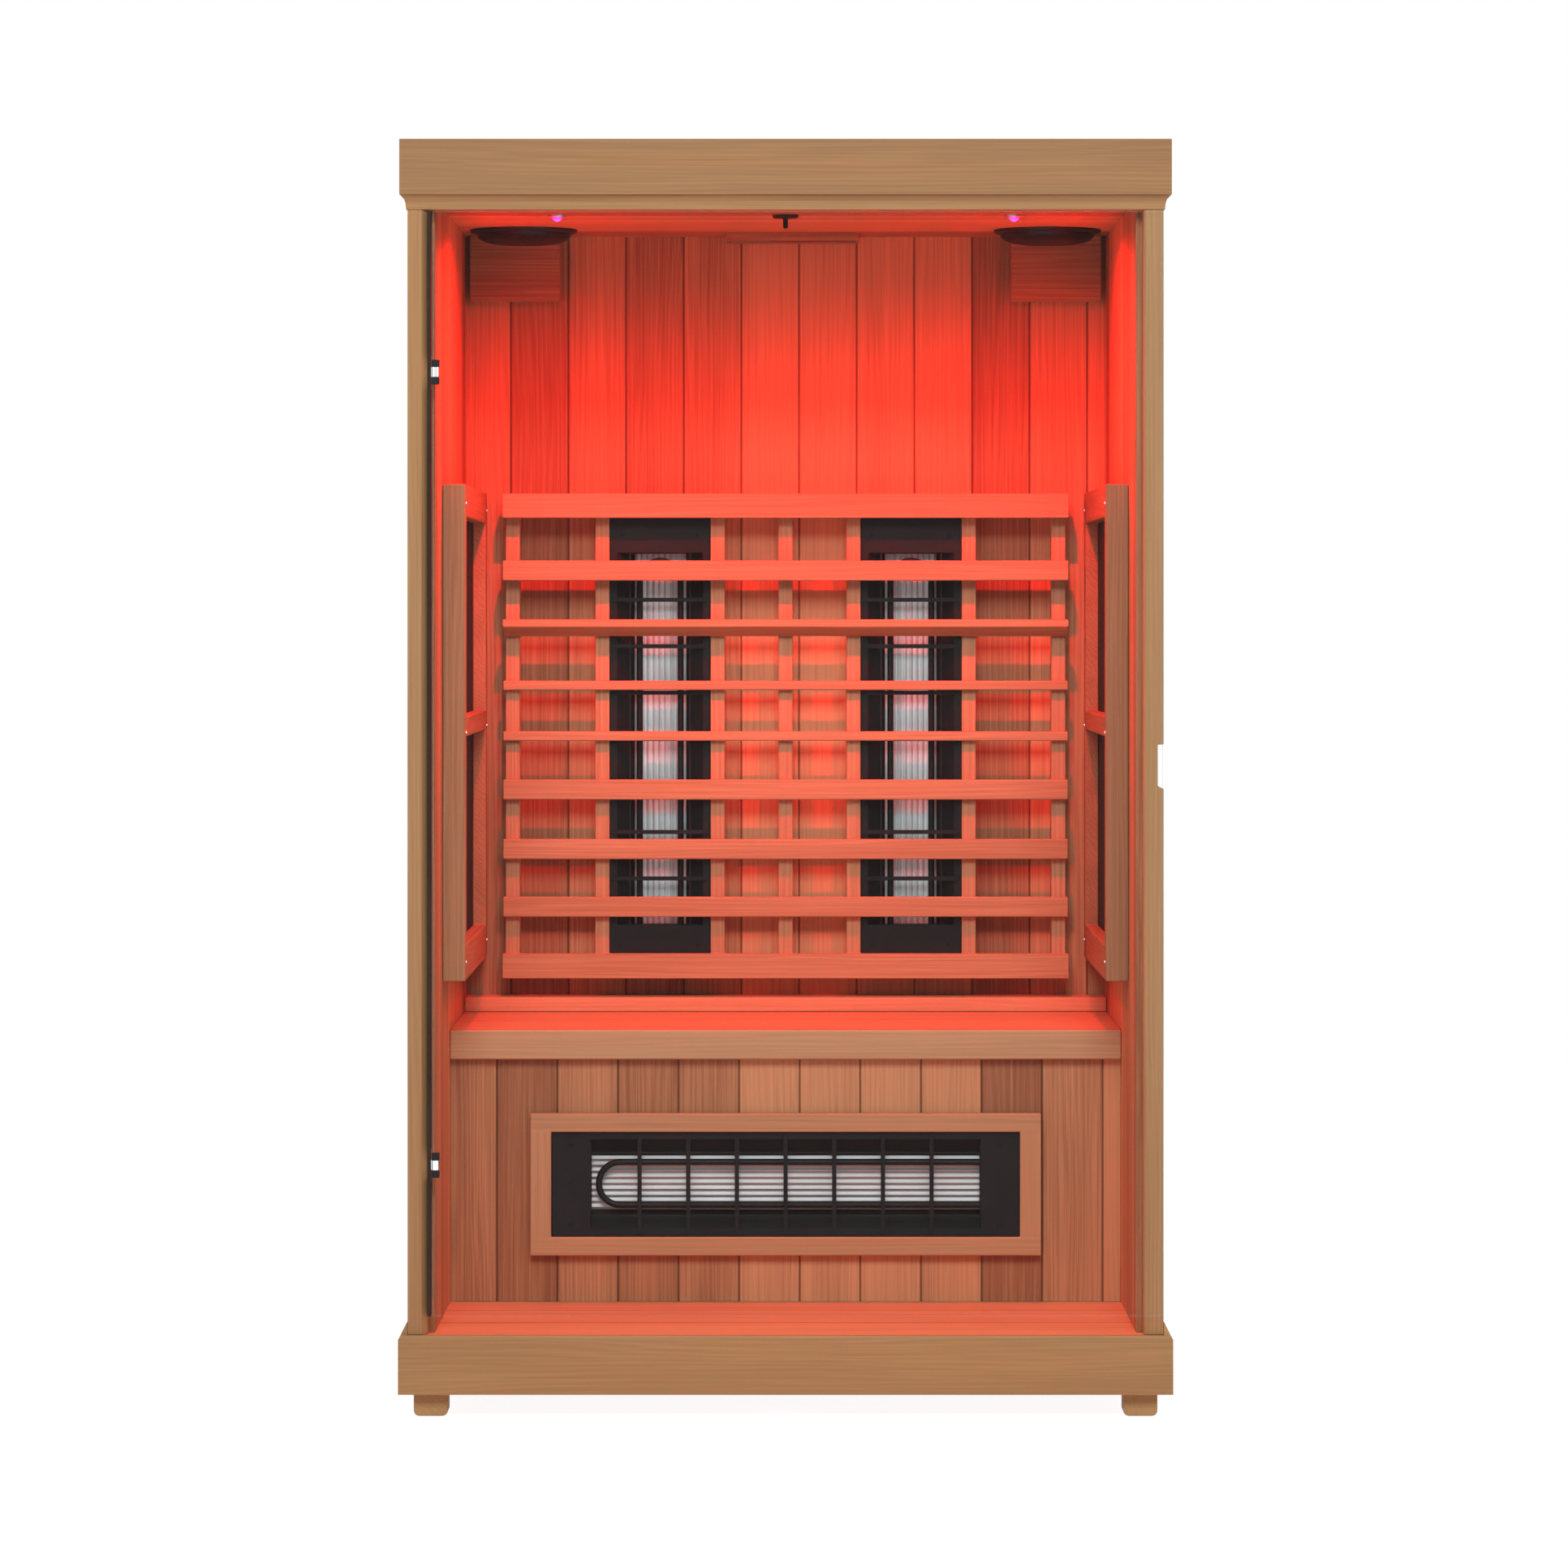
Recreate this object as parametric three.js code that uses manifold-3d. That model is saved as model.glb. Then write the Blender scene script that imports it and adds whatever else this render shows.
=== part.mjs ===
// Infrared sauna cabin for two: a boarded cedar cabin with a full-width glass door, a bench, three
// tube heaters, two flat side heaters and a sliding roof vent.
// Millimetres, +Z up. X runs left to right, Y from the door to the back wall, and the origin is on
// the ground under the middle of the cabin.
import * as THREE from "three";
import { mergeVertices } from "three/addons/utils/BufferGeometryUtils.js";
import Module from "manifold-3d";

// Clearance left between pieces that are fitted together
const FIT = 0.3;
// How far a cut runs past the face that it opens, and a joint into its neighbour
const PAST = 1;
// Corners closer than this are one corner
const WELD = 0.0001;

// Cabin shell
const BODY_WIDTH = 1172;
const BODY_DEPTH = 963;
const ROOM_HEIGHT = 1762;
const WALL = 41;
const BOARD = 98.5;
const BOARD_SHIFT = 23;
const GROOVE_WIDTH = 4;
const GROOVE_DEPTH = 2;

// Base
const FOOT_HEIGHT = 36;
const FOOT_SIZE = 53;
const FOOT_ROUND = 9;
const FOOT_INSET = 9;
const PLINTH_HEIGHT = 91;
const PLINTH_OVERHANG = 14;
const MOULDING_RISE = 19;
const MOULDING_DROP = 6;
const MOULDING_LIP = 1.5;
const DECK = 20;
const JOIST_WIDTH = 71;

// Front frame
const POST_WIDTH = 31;
const POST_DEPTH = 33;
const LEFT_POST_CHAMFER = 9;
const RIGHT_POST_CHAMFER = 4;
const HEADER_HEIGHT = 18;
const NOTCH_RISE = 847;
const NOTCH_HEIGHT = 68;
const NOTCH_DEPTH = 9;
const NOTCH_LENGTH = 150;

// Roof
const ROOF_THICKNESS = 30;
const CAP_OVERHANG = 12;
const CAP_BOARD = 18;
const CAP_HEIGHT = 86;
const COVE_HEIGHT = 23;
const COVE_LIP = 2;

// Bench
const BENCH_HEIGHT = 443;
const BENCH_DEPTH = 503;
const SEAT_THICKNESS = 22;
const NOSING_HEIGHT = 48;
const NOSING_THICKNESS = 18;
const BENCH_PANEL = 18;
const PANEL_SETBACK = 2;
const CLEAT_HEIGHT = 40;
const CLEAT_THICKNESS = 22;
const BACK_RAIL_DEPTH = 79;
const BACK_RAIL_HEIGHT = 25;

// Tube heater, the same unit under the bench and twice behind the backrest
const HEATER_LENGTH = 760;
const HEATER_HEIGHT = 170;
const HEATER_DEPTH = 40;
const HEATER_END = 64;
const HEATER_RIM = 12;
const POCKET_DEPTH = 32;
const REFLECTOR_HEIGHT = 88;
const REFLECTOR_BACKING = 3;
const REFLECTOR_RIBS = 9;
const REFLECTOR_RIB_DEPTH = 3;
const TUBE_DIAMETER = 10.5;
const TUBE_SPACING = 70;
const TUBE_SETBACK = 13;
const TUBE_BEND_GAP = 7;
const GUARD_BARS = 7;
const GUARD_PITCH = 79;
const GUARD_BAR_WIDTH = 7;
const GUARD_THICKNESS = 2.5;
const GUARD_EDGE = 4;
const GUARD_ROD = 3;
const GUARD_ROD_SPREAD = 102;

// Leg heater in the bench front
const LEG_HEATER_RISE = 192;
const LEG_HEATER_PROUD = 12;
const LEG_FRAME_STILE = 34;
const LEG_FRAME_RAIL = 30;
const LEG_FRAME_THICKNESS = 20;
const WINDOW_CLEARANCE = 1;

// Back heaters and backrest
const BACK_HEATER_SPREAD = 427;
const BACK_HEATER_RISE = 905;
const BACKREST_END_GAP = 28.7;
const BACKREST_HEIGHT = 822;
const BACKREST_RISE = 57;
const RAIL_HEIGHT = 41;
const RAIL_DEPTH = 34;
const RIB_WIDTH = 24;
const RIB_DEPTH = 45;
const RIB_END_INSET = 4;
const RIB_HEATER_GAP = 1;
const RIB_LAP = 2;

// Slats: sections, and heights of their middles over the middle of the bottom rail
const HEAD_SLAT = 34;
const SLAT_HEIGHT = 34;
const SLAT_DEPTH = 15;
const BATTEN_HEIGHT = 16;
const BATTEN_DEPTH = 12;
const TURNED_SLAT_DEGREES = 60;
const HEAD_SLAT_RISE = 671;
const TURNED_SLAT_RISE = 574;
const UPPER_BATTEN_RISE = 476;
const LOWER_BATTEN_RISE = 390;
const UPPER_SLAT_RISE = 299;
const MIDDLE_SLAT_RISE = 198;
const LOWER_SLAT_RISE = 100;

// Side heaters
const SIDE_FRAME_LENGTH = 672;
const SIDE_FRAME_HEIGHT = 790;
const SIDE_FRAME_THICKNESS = 36;
const SIDE_FRAME_GAP = 27;
const SIDE_FRAME_RISE = 534;
const SIDE_STILE = 36;
const SIDE_TOP_RAIL = 52;
const SIDE_MIDDLE_RAIL = 32;
const SIDE_BOTTOM_RAIL = 56;
const SIDE_MIDDLE_RISE = 404;
const SIDE_PANEL = 13;
const SIDE_PANEL_LAP = 9;

// Ceiling fittings
const SPEAKER_DIAMETER = 180;
const SPEAKER_DROP = 25;
const SPEAKER_DOME_POWER = 4;
const SPEAKER_RIM = 4;
const SPEAKER_NECK = 150;
const SPEAKER_MAGNET = 90;
const SPEAKER_MAGNET_HEIGHT = 36;
const SPEAKER_TO_SIDE = 106;
const SPEAKER_TO_BACK = 178;
const SPOT_BEZEL = 30;
const SPOT_BEZEL_DROP = 4;
const SPOT_LENS = 20;
const SPOT_LENS_DROP = 11;
const SPOT_BODY = 22;
const SPOT_TO_SIDE = 176;
const SPOT_FROM_FRONT = 380;
const PROBE_FLANGE = 42;
const PROBE_FLANGE_DROP = 5;
const PROBE_STEM = 8;
const PROBE_STEM_DROP = 22;
const PROBE_NECK = 14;
const PROBE_FROM_FRONT = 381;
const VENT_WIDTH = 76;
const VENT_DEPTH = 70;
const VENT_X = -56;
const VENT_TO_BACK = 24;
const VENT_COVER_LENGTH = 138;
const VENT_COVER_LAP = 5;
const VENT_COVER = 8;
const VENT_STROKE = 78;
const VENT_RUNNER = 8;
const VENT_LIP = 4;
const VENT_END_BAR = 4;
const WIRING_COVER_WIDTH = 154;
const WIRING_COVER_HEIGHT = 111;
const WIRING_COVER_DEPTH = 50;
const WIRING_COVER_GAP = 8;

// Control box in the roof tray
const CONTROL_WIDTH = 300;
const CONTROL_DEPTH = 200;
const CONTROL_HEIGHT = 50;
const CONTROL_FROM_FRONT = 500;
const INLET_DIAMETER = 24;
const INLET_LENGTH = 18;

// Glass door and its hinges
const LEAF_THICKNESS = 8;
const LEAF_GAP = 4;
const LEAF_BOTTOM_GAP = 30;
const LEAF_TOP_GAP = 3;
const LEAF_EDGE_MARGIN = 2;
const HINGE_REACH = 13;
const HINGE_FROM_TOP = 249;
const HINGE_FROM_BOTTOM = 234;
const KNUCKLE_DIAMETER = 12;
const KNUCKLE_HEIGHT = 15;
const HINGE_EAR = 4;
const HINGE_PIN = 5;
const SHOE_HEIGHT = 38;
const SHOE_CHEEK = 2;
const SHOE_WEB = 1.5;
const SHOE_CHAMFER = 2.6;
const HINGE_PLATE = 2;
const HINGE_PLATE_HEIGHT = 48;
const HINGE_PLATE_EDGE = 4;
const HINGE_ARM_FRONT = 6;
const SEAL_WIDTH = 5.4;
const SEAL_FRONT = 10;
const SEAL_LEG = 14;

// Segments of round pieces
const ROUND_SEGMENTS = 24;
const TUBE_SIDES = 10;
const BEND_STEPS = 14;
const CORNER_SEGMENTS = 5;
const COVE_STEPS = 4;
const DOME_STEPS = 5;
const GLAND_SIDES = 6;
const PIN_SIDES = 12;

// Levels and faces that the pieces share
const HALF = BODY_WIDTH / 2;
const FRONT = -BODY_DEPTH / 2;
const BACK = BODY_DEPTH / 2;
const ROOM_HALF = HALF - WALL;
const ROOM_BACK = BACK - WALL;
const FLOOR = FOOT_HEIGHT + PLINTH_HEIGHT;
const CEILING = FLOOR + ROOM_HEIGHT;
const ROOF_TOP = CEILING + ROOF_THICKNESS;
const COVE_BOTTOM = CEILING - HEADER_HEIGHT;
const CAP_BOTTOM = COVE_BOTTOM + COVE_HEIGHT;
const CAP_TOP = CAP_BOTTOM + CAP_HEIGHT;
const CAP_INNER = CAP_OVERHANG - CAP_BOARD;
const POST_INNER = HALF - POST_WIDTH;
const WALL_FRONT = FRONT + POST_DEPTH;
const FITTED_HALF = ROOM_HALF - FIT;
const FITTED_BACK = ROOM_BACK - FIT;
const SEAT_TOP = FLOOR + BENCH_HEIGHT;
const SEAT_BOTTOM = SEAT_TOP - SEAT_THICKNESS;
const NOSE = ROOM_BACK - BENCH_DEPTH;
const PANEL_FACE = NOSE + NOSING_THICKNESS + PANEL_SETBACK;
const PANEL_BACK = PANEL_FACE + BENCH_PANEL;

const wasm = await Module();
wasm.setup();

// Solids: joining and cutting closed geometries

function toSolid(geometry) {
  const bare = geometry.index ? geometry.toNonIndexed() : geometry.clone();
  bare.deleteAttribute("normal");
  bare.deleteAttribute("uv");
  const merged = mergeVertices(bare, WELD);
  const vertProperties = new Float32Array(merged.attributes.position.array);
  const triVerts = new Uint32Array(merged.index.array);
  return new wasm.Manifold(new wasm.Mesh({ numProp: 3, vertProperties, triVerts }));
}

function toGeometry(solid) {
  const mesh = solid.getMesh();
  const geometry = new THREE.BufferGeometry();
  geometry.setAttribute("position", new THREE.BufferAttribute(mesh.vertProperties, 3));
  geometry.setIndex(new THREE.BufferAttribute(mesh.triVerts, 1));
  return geometry;
}

function join(...geometries) {
  return toGeometry(geometries.map(toSolid).reduce((whole, piece) => whole.add(piece)));
}

function cut(geometry, ...tools) {
  return toGeometry(tools.map(toSolid).reduce((whole, tool) => whole.subtract(tool), toSolid(geometry)));
}

// Shapes

function block(x, y, z) {
  const size = [x, y, z].map(([low, high]) => high - low);
  const middle = [x, y, z].map(([low, high]) => (low + high) / 2);
  return new THREE.BoxGeometry(...size).translate(...middle);
}

function outlineShape(points) {
  return new THREE.Shape(points.map(([a, b]) => new THREE.Vector2(a, b)));
}

function rectangle([left, right], [low, high]) {
  return [
    [left, low],
    [right, low],
    [right, high],
    [left, high],
  ];
}

function circle(x, y, radius, segments = ROUND_SEGMENTS) {
  return Array.from({ length: segments }, (_, i) => {
    const angle = (2 * Math.PI * i) / segments;
    return [x + radius * Math.cos(angle), y + radius * Math.sin(angle)];
  });
}

// An outline drawn in the two other axes and pushed out from low to high: the outline's points are
// [y, z] along X, [x, z] along Y and [x, y] along Z.
function prism(axis, [low, high], outline, holes = []) {
  const shape = outlineShape(outline);
  shape.holes = holes.map(outlineShape);
  const geometry = new THREE.ExtrudeGeometry(shape, { depth: high - low, bevelEnabled: false });
  const x = new THREE.Vector3(1, 0, 0);
  const y = new THREE.Vector3(0, 1, 0);
  const z = new THREE.Vector3(0, 0, 1);
  const turn = new THREE.Matrix4();
  if (axis === "x") return geometry.applyMatrix4(turn.makeBasis(y, z, x)).translate(low, 0, 0);
  if (axis === "y") return geometry.applyMatrix4(turn.makeBasis(x, z, y.negate())).translate(0, high, 0);
  return geometry.translate(0, 0, low);
}

// A solid of revolution about an upright axis, from its [radius, height] profile, bottom to top
function turned(profile) {
  const points = profile.map(([radius, height]) => new THREE.Vector2(radius, height));
  return new THREE.LatheGeometry(points, ROUND_SEGMENTS).rotateX(Math.PI / 2);
}

// A stack of rectangles that stand out past the cabin's body, each [overhang, height]
function stack(levels) {
  const points = levels.flatMap(([out, height]) =>
    rectangle([-HALF - out, HALF + out], [FRONT - out, BACK + out]).map(([x, y]) => [x, y, height]),
  );
  const faces = [[0, 3, 2], [0, 2, 1]];
  for (let level = 0; level + 1 < levels.length; level++) {
    for (let corner = 0; corner < 4; corner++) {
      const a = level * 4 + corner;
      const b = level * 4 + ((corner + 1) % 4);
      faces.push([a, b, b + 4], [a, b + 4, a + 4]);
    }
  }
  const top = (levels.length - 1) * 4;
  faces.push([top, top + 1, top + 2], [top, top + 2, top + 3]);
  const geometry = new THREE.BufferGeometry();
  geometry.setAttribute("position", new THREE.Float32BufferAttribute(points.flat(), 3));
  return geometry.setIndex(faces.flat());
}

// The plan of a boarded panel, [along, across], with a V-groove at each joint of its boards
function boards([start, end], [near, far], shift, { nearGrooves = true, farGrooves = true } = {}) {
  const first = Math.ceil((start + GROOVE_WIDTH - shift) / BOARD);
  const last = Math.floor((end - GROOVE_WIDTH - shift) / BOARD);
  const joints = Array.from({ length: last - first + 1 }, (_, i) => shift + (first + i) * BOARD);
  const groove = (joint, face, inward, step) => [
    [joint - (step * GROOVE_WIDTH) / 2, face],
    [joint, face + inward * GROOVE_DEPTH],
    [joint + (step * GROOVE_WIDTH) / 2, face],
  ];
  const nearSide = nearGrooves ? joints.flatMap((joint) => groove(joint, near, 1, 1)) : [];
  const farSide = farGrooves ? joints.toReversed().flatMap((joint) => groove(joint, far, -1, -1)) : [];
  return [[start, near], ...nearSide, [end, near], [end, far], ...farSide, [start, far]];
}

// Materials

const cedar = new THREE.MeshStandardMaterial({ color: 0xb2845f, roughness: 0.62 });
const insideCedar = new THREE.MeshStandardMaterial({ color: 0xb57a52, roughness: 0.6 });
const blackMetal = new THREE.MeshStandardMaterial({ color: 0x262527, roughness: 0.45, metalness: 0.6 });
const heatPanel = new THREE.MeshStandardMaterial({ color: 0x1b1a1b, roughness: 0.7 });
const brightSteel = new THREE.MeshStandardMaterial({ color: 0xc3c3c6, roughness: 0.3, metalness: 1 });
const chrome = new THREE.MeshStandardMaterial({ color: 0xe6e6e6, roughness: 0.12, metalness: 1 });
const blackPlastic = new THREE.MeshStandardMaterial({ color: 0x201f20, roughness: 0.5 });
const rubber = new THREE.MeshStandardMaterial({ color: 0x2b2420, roughness: 0.8 });
const lens = new THREE.MeshStandardMaterial({ color: 0xffb0c8, roughness: 0.3, emissive: 0xff3020 });
const glass = new THREE.MeshStandardMaterial({ color: 0xe8f0ee, roughness: 0.05, opacity: 0.15 });
glass.transparent = true;

const cabin = new THREE.Group();

function piece(name, geometry, material, parent = cabin) {
  const mesh = new THREE.Mesh(geometry, material);
  mesh.name = name;
  parent.add(mesh);
  return mesh;
}

const SIDES = [
  ["left", -1],
  ["right", 1],
];

// A range given outwards from the middle of the cabin, on the left or the right of it
function onSide(side, [inner, outer]) {
  return side < 0 ? [-outer, -inner] : [inner, outer];
}

// Feet: blocks with rounded lower edges under the corners of the joists

function footOutline(x) {
  const low = FOOT_ROUND;
  const arc = (middle, from) =>
    Array.from({ length: CORNER_SEGMENTS + 1 }, (_, i) => {
      const angle = from + (i * Math.PI) / 2 / CORNER_SEGMENTS;
      return [middle + FOOT_ROUND * Math.cos(angle), low + FOOT_ROUND * Math.sin(angle)];
    });
  const half = FOOT_SIZE / 2;
  return [
    [x + half, FOOT_HEIGHT],
    [x - half, FOOT_HEIGHT],
    ...arc(x - half + FOOT_ROUND, Math.PI),
    ...arc(x + half - FOOT_ROUND, 1.5 * Math.PI),
  ];
}

const FOOT_X = HALF - FOOT_INSET - FOOT_SIZE / 2;
for (const [name, side] of SIDES) {
  const front = [FRONT + FOOT_INSET, FRONT + FOOT_INSET + FOOT_SIZE];
  const rear = [BACK - FOOT_INSET - FOOT_SIZE, BACK - FOOT_INSET];
  piece(`foot_front_${name}`, prism("y", front, footOutline(side * FOOT_X)), cedar);
  piece(`foot_rear_${name}`, prism("y", rear, footOutline(side * FOOT_X)), cedar);
}

// Base: a deck on three joists inside a plinth, whose sloped moulding climbs the three closed sides

function floorPanel() {
  const joist = [FOOT_HEIGHT, FLOOR - DECK];
  const half = JOIST_WIDTH / 2;
  const under = [
    [-HALF + JOIST_WIDTH, joist[0]],
    [-HALF + JOIST_WIDTH, joist[1]],
    [-half, joist[1]],
    [-half, joist[0]],
  ];
  const mirrored = under.toReversed().map(([x, z]) => [-x, z]);
  const outline = [[-HALF, FLOOR], [-HALF, joist[0]], ...under, ...mirrored, [HALF, joist[0]], [HALF, FLOOR]];
  return prism("y", [FRONT, BACK], outline);
}

function basePlinth() {
  const outer = stack([
    [PLINTH_OVERHANG, FOOT_HEIGHT],
    [PLINTH_OVERHANG, FLOOR - MOULDING_DROP],
    [MOULDING_LIP, FLOOR + MOULDING_RISE],
  ]);
  const top = FLOOR + MOULDING_RISE;
  const inside = block(
    [-HALF - FIT, HALF + FIT],
    [FRONT - FIT, BACK + FIT],
    [FOOT_HEIGHT - PAST, top + PAST],
  );
  const reach = HALF + PLINTH_OVERHANG + PAST;
  const doorway = block([-reach, reach], [FRONT - PLINTH_OVERHANG - PAST, FRONT], [FLOOR, top + PAST]);
  return cut(outer, inside, doorway);
}

piece("floor_panel", floorPanel(), insideCedar);
piece("base_plinth", basePlinth(), cedar);

// Walls of upright boards. The finger notch runs back from the front edge of the right-hand side.

const fingerNotch = block(
  [HALF - NOTCH_DEPTH, HALF + PAST],
  [FRONT - PAST, FRONT + NOTCH_LENGTH],
  [FLOOR + NOTCH_RISE, FLOOR + NOTCH_RISE + NOTCH_HEIGHT],
);

function sideWall(side) {
  const plan = boards([WALL_FRONT, ROOM_BACK], onSide(side, [ROOM_HALF, HALF]), 0);
  return prism("z", [FLOOR, CEILING], plan.map(([along, across]) => [across, along]));
}

piece("left_wall", sideWall(-1), cedar);
piece("right_wall", cut(sideWall(1), fingerNotch), cedar);
const backBoards = boards([-HALF, HALF], [ROOM_BACK, BACK], BOARD_SHIFT);
piece("back_wall", prism("z", [FLOOR, CEILING], backBoards), cedar);

// Front frame: two posts, chamfered towards the doorway, and the header between them

function post(side, chamfer) {
  const plan = [
    [HALF, FRONT],
    [HALF, WALL_FRONT],
    [POST_INNER, WALL_FRONT],
    [POST_INNER, FRONT + chamfer],
    [POST_INNER + chamfer, FRONT],
  ];
  return prism("z", [FLOOR, CEILING], plan.map(([x, y]) => [side * x, y]));
}

piece("left_post", post(-1, LEFT_POST_CHAMFER), cedar);
piece("right_post", cut(post(1, RIGHT_POST_CHAMFER), fingerNotch), cedar);
piece("front_header", block([-POST_INNER, POST_INNER], [FRONT, WALL_FRONT], [COVE_BOTTOM, CEILING]), cedar);

// Roof panel, with holes for the fittings, inside a cap of fascia boards over a cove

const SPEAKER_X = ROOM_HALF - SPEAKER_TO_SIDE;
const SPEAKER_Y = ROOM_BACK - SPEAKER_TO_BACK;
const SPOT_X = ROOM_HALF - SPOT_TO_SIDE;
const SPOT_Y = FRONT + SPOT_FROM_FRONT;
const PROBE_Y = FRONT + PROBE_FROM_FRONT;
const VENT_LEFT = VENT_X - VENT_WIDTH / 2;
const VENT_RIGHT = VENT_X + VENT_WIDTH / 2;
const VENT_BACK = ROOM_BACK - VENT_TO_BACK;
const VENT_FRONT = VENT_BACK - VENT_DEPTH;

function roofPanel() {
  const out = CAP_INNER - FIT;
  const plan = rectangle([-HALF - out, HALF + out], [FRONT - out, BACK + out]);
  const holes = [
    rectangle([VENT_LEFT, VENT_RIGHT], [VENT_FRONT, VENT_BACK]),
    circle(0, PROBE_Y, PROBE_NECK / 2 + FIT),
    ...SIDES.map(([, side]) => circle(side * SPEAKER_X, SPEAKER_Y, SPEAKER_NECK / 2 + FIT)),
    ...SIDES.map(([, side]) => circle(side * SPOT_X, SPOT_Y, SPOT_BODY / 2 + FIT)),
  ];
  return prism("z", [CEILING, ROOF_TOP], plan, holes);
}

function roofCap() {
  const cove = Array.from({ length: COVE_STEPS + 1 }, (_, i) => {
    const angle = (i * Math.PI) / 2 / COVE_STEPS;
    const out = COVE_LIP + (CAP_OVERHANG - COVE_LIP) * (1 - Math.cos(angle));
    return [out, COVE_BOTTOM + COVE_HEIGHT * Math.sin(angle)];
  });
  const outer = stack([...cove, [CAP_OVERHANG, CAP_TOP]]);
  const overWalls = block(
    [-HALF - FIT, HALF + FIT],
    [FRONT - FIT, BACK + FIT],
    [COVE_BOTTOM - PAST, CEILING + FIT],
  );
  const tray = block(
    [-HALF - CAP_INNER, HALF + CAP_INNER],
    [FRONT - CAP_INNER, BACK + CAP_INNER],
    [COVE_BOTTOM - PAST, CAP_TOP + PAST],
  );
  return cut(outer, overWalls, tray);
}

piece("roof_panel", roofPanel(), insideCedar);
piece("roof_cap", roofCap(), cedar);

// Control box on the roof panel, with the gland where the mains lead would enter it

function controlBox() {
  const front = FRONT + CONTROL_FROM_FRONT;
  const bottom = ROOF_TOP;
  const box = block(
    [-CONTROL_WIDTH / 2, CONTROL_WIDTH / 2],
    [front, front + CONTROL_DEPTH],
    [bottom, bottom + CONTROL_HEIGHT],
  );
  const back = front + CONTROL_DEPTH;
  const gland = circle(0, bottom + CONTROL_HEIGHT / 2, INLET_DIAMETER / 2, GLAND_SIDES);
  return join(box, prism("y", [back - PAST, back + INLET_LENGTH], gland));
}

piece("control_box", controlBox(), blackMetal);

// Bench: cleats round three sides, a boarded front with the heater's window, a seat of two boards
// behind a nosing, and a raised rail along the back wall

const LEG_HEATER_Z = FLOOR + LEG_HEATER_RISE;

function benchFrame() {
  const front = PANEL_BACK + FIT;
  const inner = FITTED_HALF - CLEAT_THICKNESS;
  const back = FITTED_BACK - CLEAT_THICKNESS;
  const plan = [
    [-FITTED_HALF, front],
    [-inner, front],
    [-inner, back],
    [inner, back],
    [inner, front],
    [FITTED_HALF, front],
    [FITTED_HALF, FITTED_BACK],
    [-FITTED_HALF, FITTED_BACK],
  ];
  return prism("z", [SEAT_BOTTOM - CLEAT_HEIGHT, SEAT_BOTTOM], plan);
}

function benchFrontPanel() {
  const depth = [PANEL_FACE, PANEL_BACK];
  const plan = boards([-FITTED_HALF, FITTED_HALF], depth, BOARD_SHIFT, { farGrooves: false });
  const wide = HEATER_LENGTH / 2 + WINDOW_CLEARANCE;
  const tall = HEATER_HEIGHT / 2 + WINDOW_CLEARANCE;
  const window = block(
    [-wide, wide],
    [PANEL_FACE - PAST, PANEL_BACK + PAST],
    [LEG_HEATER_Z - tall, LEG_HEATER_Z + tall],
  );
  return cut(prism("z", [FLOOR, SEAT_BOTTOM - FIT], plan), window);
}

function benchSeat() {
  const front = NOSE + NOSING_THICKNESS + FIT;
  const joint = (front + ROOM_BACK - BACK_RAIL_DEPTH) / 2;
  const section = [
    [front, SEAT_BOTTOM],
    [FITTED_BACK, SEAT_BOTTOM],
    [FITTED_BACK, SEAT_TOP],
    [joint + GROOVE_WIDTH / 2, SEAT_TOP],
    [joint, SEAT_TOP - GROOVE_DEPTH],
    [joint - GROOVE_WIDTH / 2, SEAT_TOP],
    [front, SEAT_TOP],
  ];
  return prism("x", [-FITTED_HALF, FITTED_HALF], section);
}

const acrossRoom = [-FITTED_HALF, FITTED_HALF];
const nosingDepth = [NOSE, NOSE + NOSING_THICKNESS];
const backRailDepth = [ROOM_BACK - BACK_RAIL_DEPTH, FITTED_BACK];
piece("bench_frame", benchFrame(), insideCedar);
piece("bench_front_panel", benchFrontPanel(), insideCedar);
piece("bench_seat", benchSeat(), insideCedar);
piece("bench_nosing", block(acrossRoom, nosingDepth, [SEAT_TOP - NOSING_HEIGHT, SEAT_TOP]), insideCedar);
const backRailRise = [SEAT_TOP, SEAT_TOP + BACK_RAIL_HEIGHT];
piece("bench_back_rail", block(acrossRoom, backRailDepth, backRailRise), insideCedar);

// Tube heater: a pressed housing with a pocket whose sides slope in to a ribbed reflector, a
// U-shaped tube before it, and a guard of flat bars on two rods.
// In its own frame it lies along X and faces -Y, with the middle of its front face at the origin.

const POCKET_HALF = HEATER_LENGTH / 2 - HEATER_END;

function heaterHousing() {
  const shell = block(
    [-HEATER_LENGTH / 2, HEATER_LENGTH / 2],
    [0, HEATER_DEPTH],
    [-HEATER_HEIGHT / 2, HEATER_HEIGHT / 2],
  );
  const mouth = HEATER_HEIGHT / 2 - HEATER_RIM;
  const bed = REFLECTOR_HEIGHT / 2 + FIT;
  const slope = (mouth - bed) / POCKET_DEPTH;
  const section = [
    [-1, mouth + slope],
    [-1, -mouth - slope],
    [POCKET_DEPTH, -bed],
    [POCKET_DEPTH, bed],
  ];
  return cut(shell, prism("x", [-POCKET_HALF, POCKET_HALF], section));
}

function heaterReflector() {
  const back = POCKET_DEPTH - FIT;
  const valley = back - REFLECTOR_BACKING;
  const pitch = REFLECTOR_HEIGHT / REFLECTOR_RIBS;
  const low = -REFLECTOR_HEIGHT / 2;
  const ribs = Array.from({ length: REFLECTOR_RIBS }, (_, i) => [
    [valley, low + i * pitch],
    [valley - REFLECTOR_RIB_DEPTH, low + (i + 0.5) * pitch],
  ]).flat();
  const section = [[back, low], ...ribs, [valley, -low], [back, -low]];
  return prism("x", [-POCKET_HALF + FIT, POCKET_HALF - FIT], section);
}

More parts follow.
